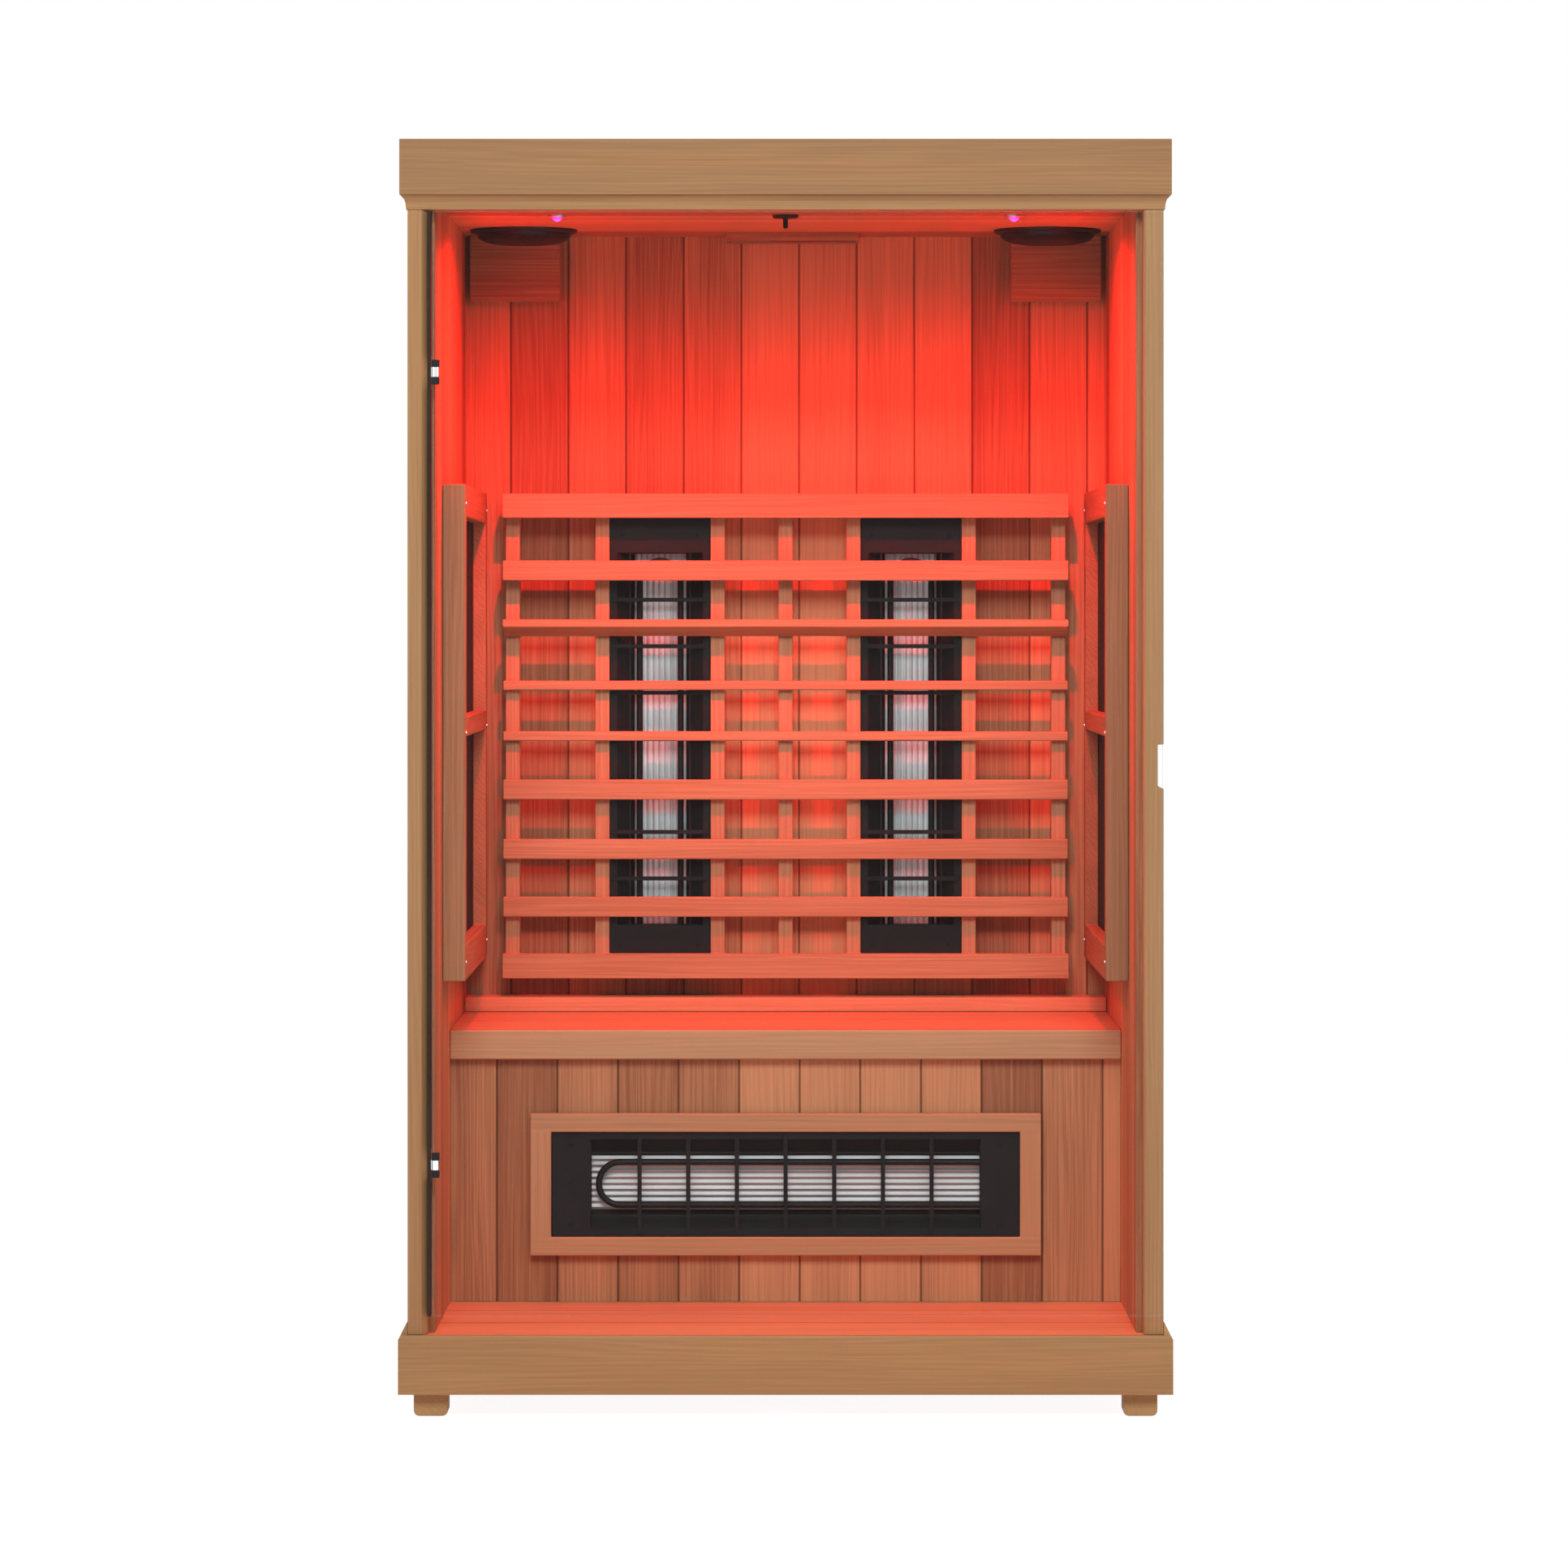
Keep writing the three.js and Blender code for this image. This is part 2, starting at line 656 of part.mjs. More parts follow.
function heaterElement() {
  const leg = TUBE_SPACING / 2;
  const bend = -POCKET_HALF + TUBE_BEND_GAP + TUBE_DIAMETER / 2 + leg;
  const turn = Array.from({ length: BEND_STEPS + 1 }, (_, i) => {
    const angle = Math.PI / 2 + (i * Math.PI) / BEND_STEPS;
    return new THREE.Vector3(bend + leg * Math.cos(angle), TUBE_SETBACK, leg * Math.sin(angle));
  });
  const section = outlineShape(circle(0, 0, TUBE_DIAMETER / 2, TUBE_SIDES));
  const path = new THREE.CatmullRomCurve3(turn);
  const curved = new THREE.ExtrudeGeometry(section, { steps: BEND_STEPS, extrudePath: path });
  const straight = [-leg, leg].map((z) =>
    prism("x", [bend - FIT, POCKET_HALF - FIT], circle(TUBE_SETBACK, z, TUBE_DIAMETER / 2, TUBE_SIDES)),
  );
  return join(curved, ...straight);
}

function heaterGuard() {
  const depth = [-FIT - GUARD_THICKNESS, -FIT];
  const tall = HEATER_HEIGHT / 2 - GUARD_EDGE;
  const bars = Array.from({ length: GUARD_BARS }, (_, i) => {
    const x = (i - (GUARD_BARS - 1) / 2) * GUARD_PITCH;
    return block([x - GUARD_BAR_WIDTH / 2, x + GUARD_BAR_WIDTH / 2], depth, [-tall, tall]);
  });
  const rods = [-1, 1].map((side) => {
    const z = (side * GUARD_ROD_SPREAD) / 2;
    return block([-POCKET_HALF, POCKET_HALF], depth, [z - GUARD_ROD / 2, z + GUARD_ROD / 2]);
  });
  return join(...bars, ...rods);
}

function tubeHeater(name, placed) {
  piece(`${name}_housing`, heaterHousing(), blackMetal, placed);
  piece(`${name}_reflector`, heaterReflector(), brightSteel, placed);
  piece(`${name}_element`, heaterElement(), blackMetal, placed);
  piece(`${name}_guard`, heaterGuard(), blackMetal, placed);
  cabin.add(placed);
}

const legHeater = new THREE.Group();
legHeater.position.set(0, PANEL_FACE - LEG_HEATER_PROUD, LEG_HEATER_Z);
tubeHeater("leg_heater", legHeater);

function legHeaterFrame() {
  const wide = HEATER_LENGTH / 2 + FIT;
  const tall = HEATER_HEIGHT / 2 + FIT;
  const outer = rectangle(
    [-wide - LEG_FRAME_STILE, wide + LEG_FRAME_STILE],
    [LEG_HEATER_Z - tall - LEG_FRAME_RAIL, LEG_HEATER_Z + tall + LEG_FRAME_RAIL],
  );
  const opening = rectangle([-wide, wide], [LEG_HEATER_Z - tall, LEG_HEATER_Z + tall]);
  return prism("y", [PANEL_FACE - LEG_FRAME_THICKNESS, PANEL_FACE], outer, [opening]);
}

piece("leg_heater_frame", legHeaterFrame(), insideCedar);

const BACK_HEATER_X = BACK_HEATER_SPREAD / 2;
for (const [name, side] of SIDES) {
  const upright = new THREE.Group();
  upright.position.set(side * BACK_HEATER_X, FITTED_BACK - HEATER_DEPTH, FLOOR + BACK_HEATER_RISE);
  upright.rotation.y = Math.PI / 2;
  tubeHeater(`${name}_back_heater`, upright);
}

// Backrest: ribs on the back wall, beside the heaters, at the ends and in the middle, joined by a
// top and a bottom rail, and slats across them

const RIB_FRONT = FITTED_BACK - RIB_DEPTH;
const BACKREST_BOTTOM = SEAT_TOP + BACKREST_RISE;
const BACKREST_HALF = FITTED_HALF - SIDE_FRAME_THICKNESS - BACKREST_END_GAP;

function backrestFrame() {
  const top = BACKREST_BOTTOM + BACKREST_HEIGHT;
  const besideHeater = HEATER_HEIGHT / 2 + RIB_HEATER_GAP + RIB_WIDTH / 2;
  const end = BACKREST_HALF - RIB_END_INSET - RIB_WIDTH / 2;
  const spots = [BACK_HEATER_X - besideHeater, BACK_HEATER_X + besideHeater, end];
  const ribs = [0, ...spots, ...spots.map((x) => -x)].map((x) =>
    block([x - RIB_WIDTH / 2, x + RIB_WIDTH / 2], [RIB_FRONT, FITTED_BACK], [BACKREST_BOTTOM, top]),
  );
  const railDepth = [RIB_FRONT - RAIL_DEPTH, RIB_FRONT + RIB_LAP];
  const rails = [
    [BACKREST_BOTTOM, BACKREST_BOTTOM + RAIL_HEIGHT],
    [top - RAIL_HEIGHT, top],
  ].map((height) => block([-BACKREST_HALF, BACKREST_HALF], railDepth, height));
  return join(...ribs, ...rails);
}

piece("backrest_frame", backrestFrame(), insideCedar);

// Slats from the top down, [rise, height, depth, turn of the face towards the floor]
const SLATS = [
  [HEAD_SLAT_RISE, HEAD_SLAT, HEAD_SLAT, 0],
  [TURNED_SLAT_RISE, SLAT_HEIGHT, SLAT_DEPTH, TURNED_SLAT_DEGREES],
  [UPPER_BATTEN_RISE, BATTEN_HEIGHT, BATTEN_DEPTH, 0],
  [LOWER_BATTEN_RISE, BATTEN_HEIGHT, BATTEN_DEPTH, 0],
  [UPPER_SLAT_RISE, SLAT_HEIGHT, SLAT_DEPTH, 0],
  [MIDDLE_SLAT_RISE, SLAT_HEIGHT, SLAT_DEPTH, 0],
  [LOWER_SLAT_RISE, SLAT_HEIGHT, SLAT_DEPTH, 0],
];
SLATS.forEach(([rise, height, depth, degrees], i) => {
  const section = new THREE.BoxGeometry(2 * BACKREST_HALF, depth, height);
  const slat = piece(`backrest_slat_${i + 1}`, section, insideCedar);
  const angle = THREE.MathUtils.degToRad(degrees);
  const reach = (height * Math.sin(angle) + depth * Math.cos(angle)) / 2;
  slat.position.set(0, RIB_FRONT - FIT - reach, BACKREST_BOTTOM + RAIL_HEIGHT / 2 + rise);
  slat.rotation.x = angle;
});

// Side heaters: a frame of two stiles and three rails on the wall, rebated at its back for a flat
// heating panel

for (const [name, side] of SIDES) {
  const far = ROOM_BACK - SIDE_FRAME_GAP;
  const near = far - SIDE_FRAME_LENGTH;
  const bottom = FLOOR + SIDE_FRAME_RISE;
  const top = bottom + SIDE_FRAME_HEIGHT;
  const across = onSide(side, [FITTED_HALF - SIDE_FRAME_THICKNESS, FITTED_HALF]);
  const windowAlong = [near + SIDE_STILE, far - SIDE_STILE];
  const middle = bottom + SIDE_MIDDLE_RISE;
  const windows = [
    rectangle(windowAlong, [bottom + SIDE_BOTTOM_RAIL, middle - SIDE_MIDDLE_RAIL / 2]),
    rectangle(windowAlong, [middle + SIDE_MIDDLE_RAIL / 2, top - SIDE_TOP_RAIL]),
  ];
  const boarded = prism("x", across, rectangle([near, far], [bottom, top]), windows);
  const panelAcross = [FITTED_HALF - SIDE_PANEL, FITTED_HALF];
  const panelAlong = [windowAlong[0] - SIDE_PANEL_LAP, windowAlong[1] + SIDE_PANEL_LAP];
  const panelHeight = [bottom + SIDE_BOTTOM_RAIL - SIDE_PANEL_LAP, top - SIDE_TOP_RAIL + SIDE_PANEL_LAP];
  const rebate = block(
    onSide(side, [panelAcross[0] - FIT, panelAcross[1] + PAST]),
    [panelAlong[0] - FIT, panelAlong[1] + FIT],
    [panelHeight[0] - FIT, panelHeight[1] + FIT],
  );
  piece(`${name}_side_heater_frame`, cut(boarded, rebate), insideCedar);
  piece(`${name}_side_heater_panel`, block(onSide(side, panelAcross), panelAlong, panelHeight), heatPanel);
}

// Ceiling speakers: a shallow domed grille with a rim against the ceiling, a neck in the roof
// panel's hole and a magnet above it. The profile is measured from the ceiling.

function speaker() {
  const radius = SPEAKER_DIAMETER / 2;
  const dome = Array.from({ length: DOME_STEPS + 1 }, (_, i) => {
    const share = Math.sin((Math.PI / 2) * (i / DOME_STEPS));
    const fullness = Math.sqrt(1 - share ** SPEAKER_DOME_POWER);
    return [radius * share, -SPEAKER_RIM - (SPEAKER_DROP - SPEAKER_RIM) * fullness];
  });
  return turned([
    ...dome,
    [radius, -FIT],
    [SPEAKER_NECK / 2, -FIT],
    [SPEAKER_NECK / 2, ROOF_THICKNESS],
    [SPEAKER_MAGNET / 2, ROOF_THICKNESS],
    [SPEAKER_MAGNET / 2, ROOF_THICKNESS + SPEAKER_MAGNET_HEIGHT],
    [0, ROOF_THICKNESS + SPEAKER_MAGNET_HEIGHT],
  ]);
}

function lightSpot() {
  const bulge = Array.from({ length: DOME_STEPS + 1 }, (_, i) => {
    const angle = (Math.PI / 2) * (i / DOME_STEPS);
    const drop = (SPOT_LENS_DROP - SPOT_BEZEL_DROP) * Math.cos(angle);
    return [(SPOT_LENS / 2) * Math.sin(angle), -SPOT_BEZEL_DROP - drop];
  });
  return turned([
    ...bulge,
    [SPOT_BEZEL / 2, -SPOT_BEZEL_DROP],
    [SPOT_BEZEL / 2, -FIT],
    [SPOT_BODY / 2, -FIT],
    [SPOT_BODY / 2, ROOF_THICKNESS],
    [0, ROOF_THICKNESS],
  ]);
}

function temperatureProbe() {
  return turned([
    [0, -PROBE_STEM_DROP],
    [PROBE_STEM / 2, -PROBE_STEM_DROP],
    [PROBE_STEM / 2, -PROBE_FLANGE_DROP],
    [PROBE_FLANGE / 2, -PROBE_FLANGE_DROP],
    [PROBE_FLANGE / 2, -FIT],
    [PROBE_NECK / 2, -FIT],
    [PROBE_NECK / 2, ROOF_THICKNESS],
    [0, ROOF_THICKNESS],
  ]);
}

for (const [name, side] of SIDES) {
  piece(`${name}_speaker`, speaker(), blackPlastic).position.set(side * SPEAKER_X, SPEAKER_Y, CEILING);
  piece(`${name}_led_spot`, lightSpot(), lens).position.set(side * SPOT_X, SPOT_Y, CEILING);
}
piece("temperature_probe", temperatureProbe(), blackPlastic).position.set(0, PROBE_Y, CEILING);

// Roof vent: the cover hangs in a frame of two lipped runners and slides to the left to close

const COVER_LEFT = VENT_RIGHT;
const COVER_RIGHT = COVER_LEFT + VENT_COVER_LENGTH;
const COVER_DEPTH = [VENT_FRONT - VENT_COVER_LAP, VENT_BACK + VENT_COVER_LAP];
const COVER_BOTTOM = CEILING - FIT - VENT_COVER;

function ventFrame() {
  const inside = [COVER_LEFT - VENT_STROKE - FIT, COVER_RIGHT + FIT];
  const outside = [inside[0] - VENT_END_BAR, inside[1] + VENT_END_BAR];
  const slot = [COVER_DEPTH[0] - FIT, COVER_DEPTH[1] + FIT];
  const bottom = COVER_BOTTOM - FIT - VENT_LIP;
  const whole = block(outside, [slot[0] - VENT_RUNNER, slot[1] + VENT_RUNNER], [bottom, CEILING]);
  const track = block(inside, slot, [COVER_BOTTOM - FIT, CEILING + PAST]);
  const sight = block(inside, [VENT_FRONT, VENT_BACK], [bottom - PAST, CEILING + PAST]);
  return cut(whole, track, sight);
}

piece("vent_frame", ventFrame(), insideCedar);
const coverRise = [COVER_BOTTOM, CEILING - FIT];
piece("vent_cover", block([COVER_LEFT, COVER_RIGHT], COVER_DEPTH, coverRise), insideCedar);

// Wiring covers in the upper back corners

for (const [name, side] of SIDES) {
  const outer = ROOM_HALF - WIRING_COVER_GAP;
  const across = onSide(side, [outer - WIRING_COVER_WIDTH, outer]);
  const depth = [FITTED_BACK - WIRING_COVER_DEPTH, FITTED_BACK];
  piece(`${name}_wiring_cover`, block(across, depth, [CEILING - WIRING_COVER_HEIGHT, CEILING]), insideCedar);
}

// Glass door on the left post. It closes over the right post, and turns about the pins of two
// hinges: a bracket on the post with a knuckle, and a shoe that grips the edge of the glass.

const HINGE_X = -POST_INNER + HINGE_REACH;
const LEAF_BACK = FRONT - LEAF_GAP;
const LEAF_FRONT = LEAF_BACK - LEAF_THICKNESS;
const HINGE_Y = (LEAF_BACK + LEAF_FRONT) / 2;
const LEAF_BOTTOM = FLOOR + LEAF_BOTTOM_GAP;
const LEAF_TOP = COVE_BOTTOM - LEAF_TOP_GAP;
const KNUCKLE = KNUCKLE_DIAMETER / 2;
const SHOE_DEPTH = LEAF_THICKNESS + 2 * SHOE_CHEEK;
const LEAF_EDGE = HINGE_X - KNUCKLE + SHOE_WEB + FIT;
const EAR_TOP = KNUCKLE_HEIGHT / 2 + FIT + HINGE_EAR;
const HINGES = [
  ["upper", LEAF_TOP - HINGE_FROM_TOP],
  ["lower", LEAF_BOTTOM + HINGE_FROM_BOTTOM],
];

function doorGlass() {
  const right = HALF - LEAF_EDGE_MARGIN;
  const cutout = HINGE_X + KNUCKLE + FIT;
  const notches = HINGES.flatMap(([, z]) => [
    [LEAF_EDGE, z + EAR_TOP + FIT],
    [cutout, z + EAR_TOP + FIT],
    [cutout, z - EAR_TOP - FIT],
    [LEAF_EDGE, z - EAR_TOP - FIT],
  ]);
  const outline = [
    [LEAF_EDGE, LEAF_BOTTOM],
    [right, LEAF_BOTTOM],
    [right, LEAF_TOP],
    [LEAF_EDGE, LEAF_TOP],
    ...notches,
  ];
  return prism("y", [LEAF_FRONT, LEAF_BACK], outline);
}

function hingeShoe() {
  const deep = SHOE_DEPTH / 2;
  const plan = [
    [KNUCKLE, -deep],
    [KNUCKLE, deep],
    [-KNUCKLE + SHOE_CHAMFER, deep],
    [-KNUCKLE, deep - SHOE_CHAMFER],
    [-KNUCKLE, -deep + SHOE_CHAMFER],
    [-KNUCKLE + SHOE_CHAMFER, -deep],
  ];
  const half = SHOE_HEIGHT / 2;
  const slotAcross = [-KNUCKLE + SHOE_WEB, KNUCKLE + PAST];
  const slotDepth = [-LEAF_THICKNESS / 2 - FIT, LEAF_THICKNESS / 2 + FIT];
  const gap = KNUCKLE_HEIGHT / 2 + FIT;
  const body = cut(
    prism("z", [-half, half], plan),
    block(slotAcross, slotDepth, [EAR_TOP, half + PAST]),
    block(slotAcross, slotDepth, [-half - PAST, -EAR_TOP]),
    block([-KNUCKLE - PAST, KNUCKLE + PAST], [-deep - PAST, deep + PAST], [-gap, gap]),
  );
  const pin = prism("z", [-gap - PAST, gap + PAST], circle(0, 0, HINGE_PIN / 2, PIN_SIDES));
  return join(body, pin);
}

function hingeBracket() {
  const half = KNUCKLE_HEIGHT / 2;
  const postFace = -HINGE_REACH + FIT;
  const frontFace = FRONT - HINGE_Y;
  const plate = block(
    [postFace, postFace + HINGE_PLATE],
    [frontFace + HINGE_PLATE_EDGE, frontFace + POST_DEPTH - HINGE_PLATE_EDGE],
    [-HINGE_PLATE_HEIGHT / 2, HINGE_PLATE_HEIGHT / 2],
  );
  const arm = block(
    [postFace, 0],
    [frontFace - HINGE_ARM_FRONT, frontFace + 2 * HINGE_PLATE_EDGE],
    [-half, half],
  );
  const knuckle = prism("z", [-half, half], circle(0, 0, KNUCKLE));
  const bore = prism("z", [-half - PAST, half + PAST], circle(0, 0, HINGE_PIN / 2 + FIT));
  return cut(join(plate, arm, knuckle), bore);
}

function doorSeal() {
  const across = [-POST_INNER + FIT, -POST_INNER + FIT + SEAL_WIDTH];
  const strip = block(across, [FRONT - SEAL_FRONT, FRONT + SEAL_LEG], [LEAF_BOTTOM, LEAF_TOP]);
  const clear = HINGE_PLATE_HEIGHT / 2 + FIT;
  const notches = HINGES.map(([, z]) =>
    block(
      [across[0] - PAST, across[1] + PAST],
      [FRONT - HINGE_ARM_FRONT - FIT, FRONT + SEAL_LEG + PAST],
      [z - clear, z + clear],
    ),
  );
  return cut(strip, ...notches);
}

piece("door_glass", doorGlass(), glass);
piece("door_seal", doorSeal(), rubber);
for (const [name, z] of HINGES) {
  piece(`${name}_hinge_shoe`, hingeShoe(), blackMetal).position.set(HINGE_X, HINGE_Y, z);
  piece(`${name}_hinge_bracket`, hingeBracket(), chrome).position.set(HINGE_X, HINGE_Y, z);
}

export default cabin;
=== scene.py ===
import math

import bpy
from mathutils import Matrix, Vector


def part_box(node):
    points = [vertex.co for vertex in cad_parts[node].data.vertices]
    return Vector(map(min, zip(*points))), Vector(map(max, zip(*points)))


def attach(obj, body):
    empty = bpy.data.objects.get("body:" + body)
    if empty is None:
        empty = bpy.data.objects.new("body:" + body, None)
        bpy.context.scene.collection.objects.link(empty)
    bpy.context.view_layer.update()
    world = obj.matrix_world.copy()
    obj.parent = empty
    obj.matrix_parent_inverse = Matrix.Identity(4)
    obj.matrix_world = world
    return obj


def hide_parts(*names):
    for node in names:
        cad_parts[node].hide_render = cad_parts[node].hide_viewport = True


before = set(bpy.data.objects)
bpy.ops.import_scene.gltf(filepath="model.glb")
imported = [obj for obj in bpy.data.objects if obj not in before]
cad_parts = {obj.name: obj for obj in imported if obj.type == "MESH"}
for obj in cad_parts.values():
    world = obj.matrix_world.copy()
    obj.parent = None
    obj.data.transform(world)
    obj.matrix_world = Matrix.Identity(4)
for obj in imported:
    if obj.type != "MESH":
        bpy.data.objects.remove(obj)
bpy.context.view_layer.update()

# View: the cabin is seen straight from the front, from nine metres off and a little over half its
# height, so the camera is level and its frame is shifted down to the middle of the cabin.
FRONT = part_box("left_post")[0].y
CAMERA_DISTANCE = 9.0
CAMERA_HEIGHT = 1.24
FRAME_WIDTH = 2.43
FRAME_SHIFT = (-0.001, -0.1066)
SENSOR = 36
camera_data = bpy.data.cameras.new("front_camera")
camera_data.sensor_width = SENSOR
camera_data.lens = SENSOR * CAMERA_DISTANCE / FRAME_WIDTH
camera_data.shift_x, camera_data.shift_y = FRAME_SHIFT
camera = bpy.data.objects.new("front_camera", camera_data)
camera.location = (0, FRONT - CAMERA_DISTANCE, CAMERA_HEIGHT)
camera.rotation_euler = (math.pi / 2, 0, 0)
bpy.context.scene.collection.objects.link(camera)
bpy.context.scene.camera = camera
bpy.context.scene.view_settings.view_transform = "Standard"


# Studio: a white room with a pale floor. A broad soft lamp stands high in front, so the header
# shades the upper half of the back wall, and weaker ones fill from the sides and from behind.
class Shade:
    """A shader socket that Python's operators work on. Each sum, product or test adds its node."""

    def __init__(self, tree, socket=None):
        self.tree = tree
        self.socket = socket

    def node(self, kind, inputs=(), output=0, **settings):
        made = self.tree.nodes.new("ShaderNode" + kind)
        for name, value in settings.items():
            setattr(made, name, value)
        pairs = inputs.items() if isinstance(inputs, dict) else enumerate(inputs)
        for key, value in pairs:
            if isinstance(value, Shade):
                self.tree.links.new(value.socket, made.inputs[key])
            else:
                made.inputs[key].default_value = value
        return Shade(self.tree, made.outputs[output])

    def math(self, operation, *values):
        return self.node("Math", values, operation=operation)

    def blend(self, first, second, kind="MIX"):
        colours = {0: self, 6: first, 7: second}
        return self.node("Mix", colours, output=2, data_type="RGBA", blend_type=kind)

    def step(self, low, high):
        ends = {0: self, 1: low, 2: high}
        return self.node("MapRange", ends, interpolation_type="SMOOTHSTEP")

    def __add__(self, other):
        return self.math("ADD", self, other)

    def __sub__(self, other):
        return self.math("SUBTRACT", self, other)

    def __rsub__(self, other):
        return self.math("SUBTRACT", other, self)

    def __mul__(self, other):
        return self.math("MULTIPLY", self, other)

    def __truediv__(self, other):
        return self.math("DIVIDE", self, other)

    def __gt__(self, other):
        return self.math("GREATER_THAN", self, other)

    def __lt__(self, other):
        return self.math("LESS_THAN", self, other)

    def __abs__(self):
        return self.math("ABSOLUTE", self)

    __radd__ = __add__


def seen_directly(tree):
    path = Shade(tree).node("LightPath", output="Is Camera Ray")
    glossy = path.node("LightPath", output="Is Glossy Ray")
    through = path.node("LightPath", output="Is Transmission Ray")
    return path.math("MAXIMUM", path.math("MAXIMUM", path, glossy), through)


WHITE = (1, 1, 1, 1)
ROOM_LIGHT = 0.155
world = bpy.data.worlds.new("white_room")
world.use_nodes = True
bpy.context.scene.world = world
room = world.node_tree
backdrop = room.nodes["Background"]
backdrop.inputs["Color"].default_value = WHITE
room_strength = ROOM_LIGHT + seen_directly(room) * (1 - ROOM_LIGHT)
room.links.new(room_strength.socket, backdrop.inputs["Strength"])

FLOOR_RADIUS = 7.0
FLOOR_WHITE = 0.45
FLOOR_GLOW = 2.06
FLOOR_PAINT = (0.86, 0.86, 0.86, 1)
bpy.ops.object.select_all(action="DESELECT")
bpy.ops.mesh.primitive_circle_add(vertices=96, radius=FLOOR_RADIUS, fill_type="NGON")
floor = bpy.context.object
floor.name = "studio_floor"
floor_paint = bpy.data.materials.new("studio_floor")
floor_paint.use_nodes = True
paint = floor_paint.node_tree
white = Shade(paint).node("Emission", {"Color": WHITE, "Strength": FLOOR_GLOW})
matt = white.node("BsdfDiffuse", {"Color": FLOOR_PAINT})
mixed = white.node("MixShader", [seen_directly(paint) * FLOOR_WHITE, matt, white])
paint.links.new(mixed.socket, paint.nodes["Material Output"].inputs["Surface"])
floor.data.materials.append(floor_paint)


def soft_lamp(name, place, target, size, watts):
    data = bpy.data.lights.new(name, "AREA")
    data.shape = "RECTANGLE"
    data.size, data.size_y = size
    data.energy = watts
    lamp = bpy.data.objects.new(name, data)
    lamp.location = place
    lamp.rotation_euler = (Vector(target) - Vector(place)).to_track_quat("-Z", "Y").to_euler()
    bpy.context.scene.collection.objects.link(lamp)


KEY_WATTS = 225
SIDE_WATTS = 31
REAR_WATTS = 115
BROAD = (3.0, 2.0)
SQUARE = (2.0, 2.0)
CABIN_MIDDLE = (0, 0, 1.0)
soft_lamp("high_front_lamp", (0, -5.5, 4.3), (0, FRONT, 0.9), BROAD, KEY_WATTS)
soft_lamp("left_fill_lamp", (-4.0, -1.5, 2.4), CABIN_MIDDLE, SQUARE, SIDE_WATTS)
soft_lamp("right_fill_lamp", (4.0, -1.5, 2.4), CABIN_MIDDLE, SQUARE, SIDE_WATTS)
soft_lamp("rear_fill_lamp", (0, 4.5, 3.4), CABIN_MIDDLE, BROAD, REAR_WATTS)


# Feet: short blocks of cedar under the four corners, screwed up into the joists.
# They are sawn with the grain running front to back, and their edges are eased by hand.
def principled(name, **constants):
    material = bpy.data.materials.new(name)
    material.use_nodes = True
    shader = material.node_tree.nodes["Principled BSDF"]
    for socket, value in constants.items():
        shader.inputs[socket.replace("_", " ")].default_value = value
    return material, material.node_tree, shader


def object_axes(tree):
    place = Shade(tree).node("TexCoord", output="Object")
    return {axis: place.node("SeparateXYZ", [place], output=i) for i, axis in enumerate("xyz")}


def noise(axes, scales, detail=3.0, rough=0.6):
    stretched = [axes[axis] * scale for axis, scale in zip("xyz", scales)]
    vector = axes["x"].node("CombineXYZ", stretched)
    return vector.node("TexNoise", {"Vector": vector, "Scale": 1.0, "Detail": detail, "Roughness": rough})


def bump(tree, shader, height, strength, distance):
    settings = {"Height": height, "Strength": strength, "Distance": distance}
    tree.links.new(height.node("Bump", settings).socket, shader.inputs["Normal"])


STREAK_SCALE = (4.0, 420.0, 420.0)
FIGURE_SCALE = (1.1, 17.0, 17.0)
RING_RATE = 620.0
RING_SWAY = 46.0
FIGURE_TINT = (0.93, 0.76, 0.66, 1)
# Painted shade: this dark tint along each board joint stands for the shade in the groove between boards.
GROOVE_SHADE_TINT = (0.16, 0.13, 0.12, 1)
GROOVE_SHADE_HALF = (0.0006, 0.0026)
SAWN_PIECE = 9.0


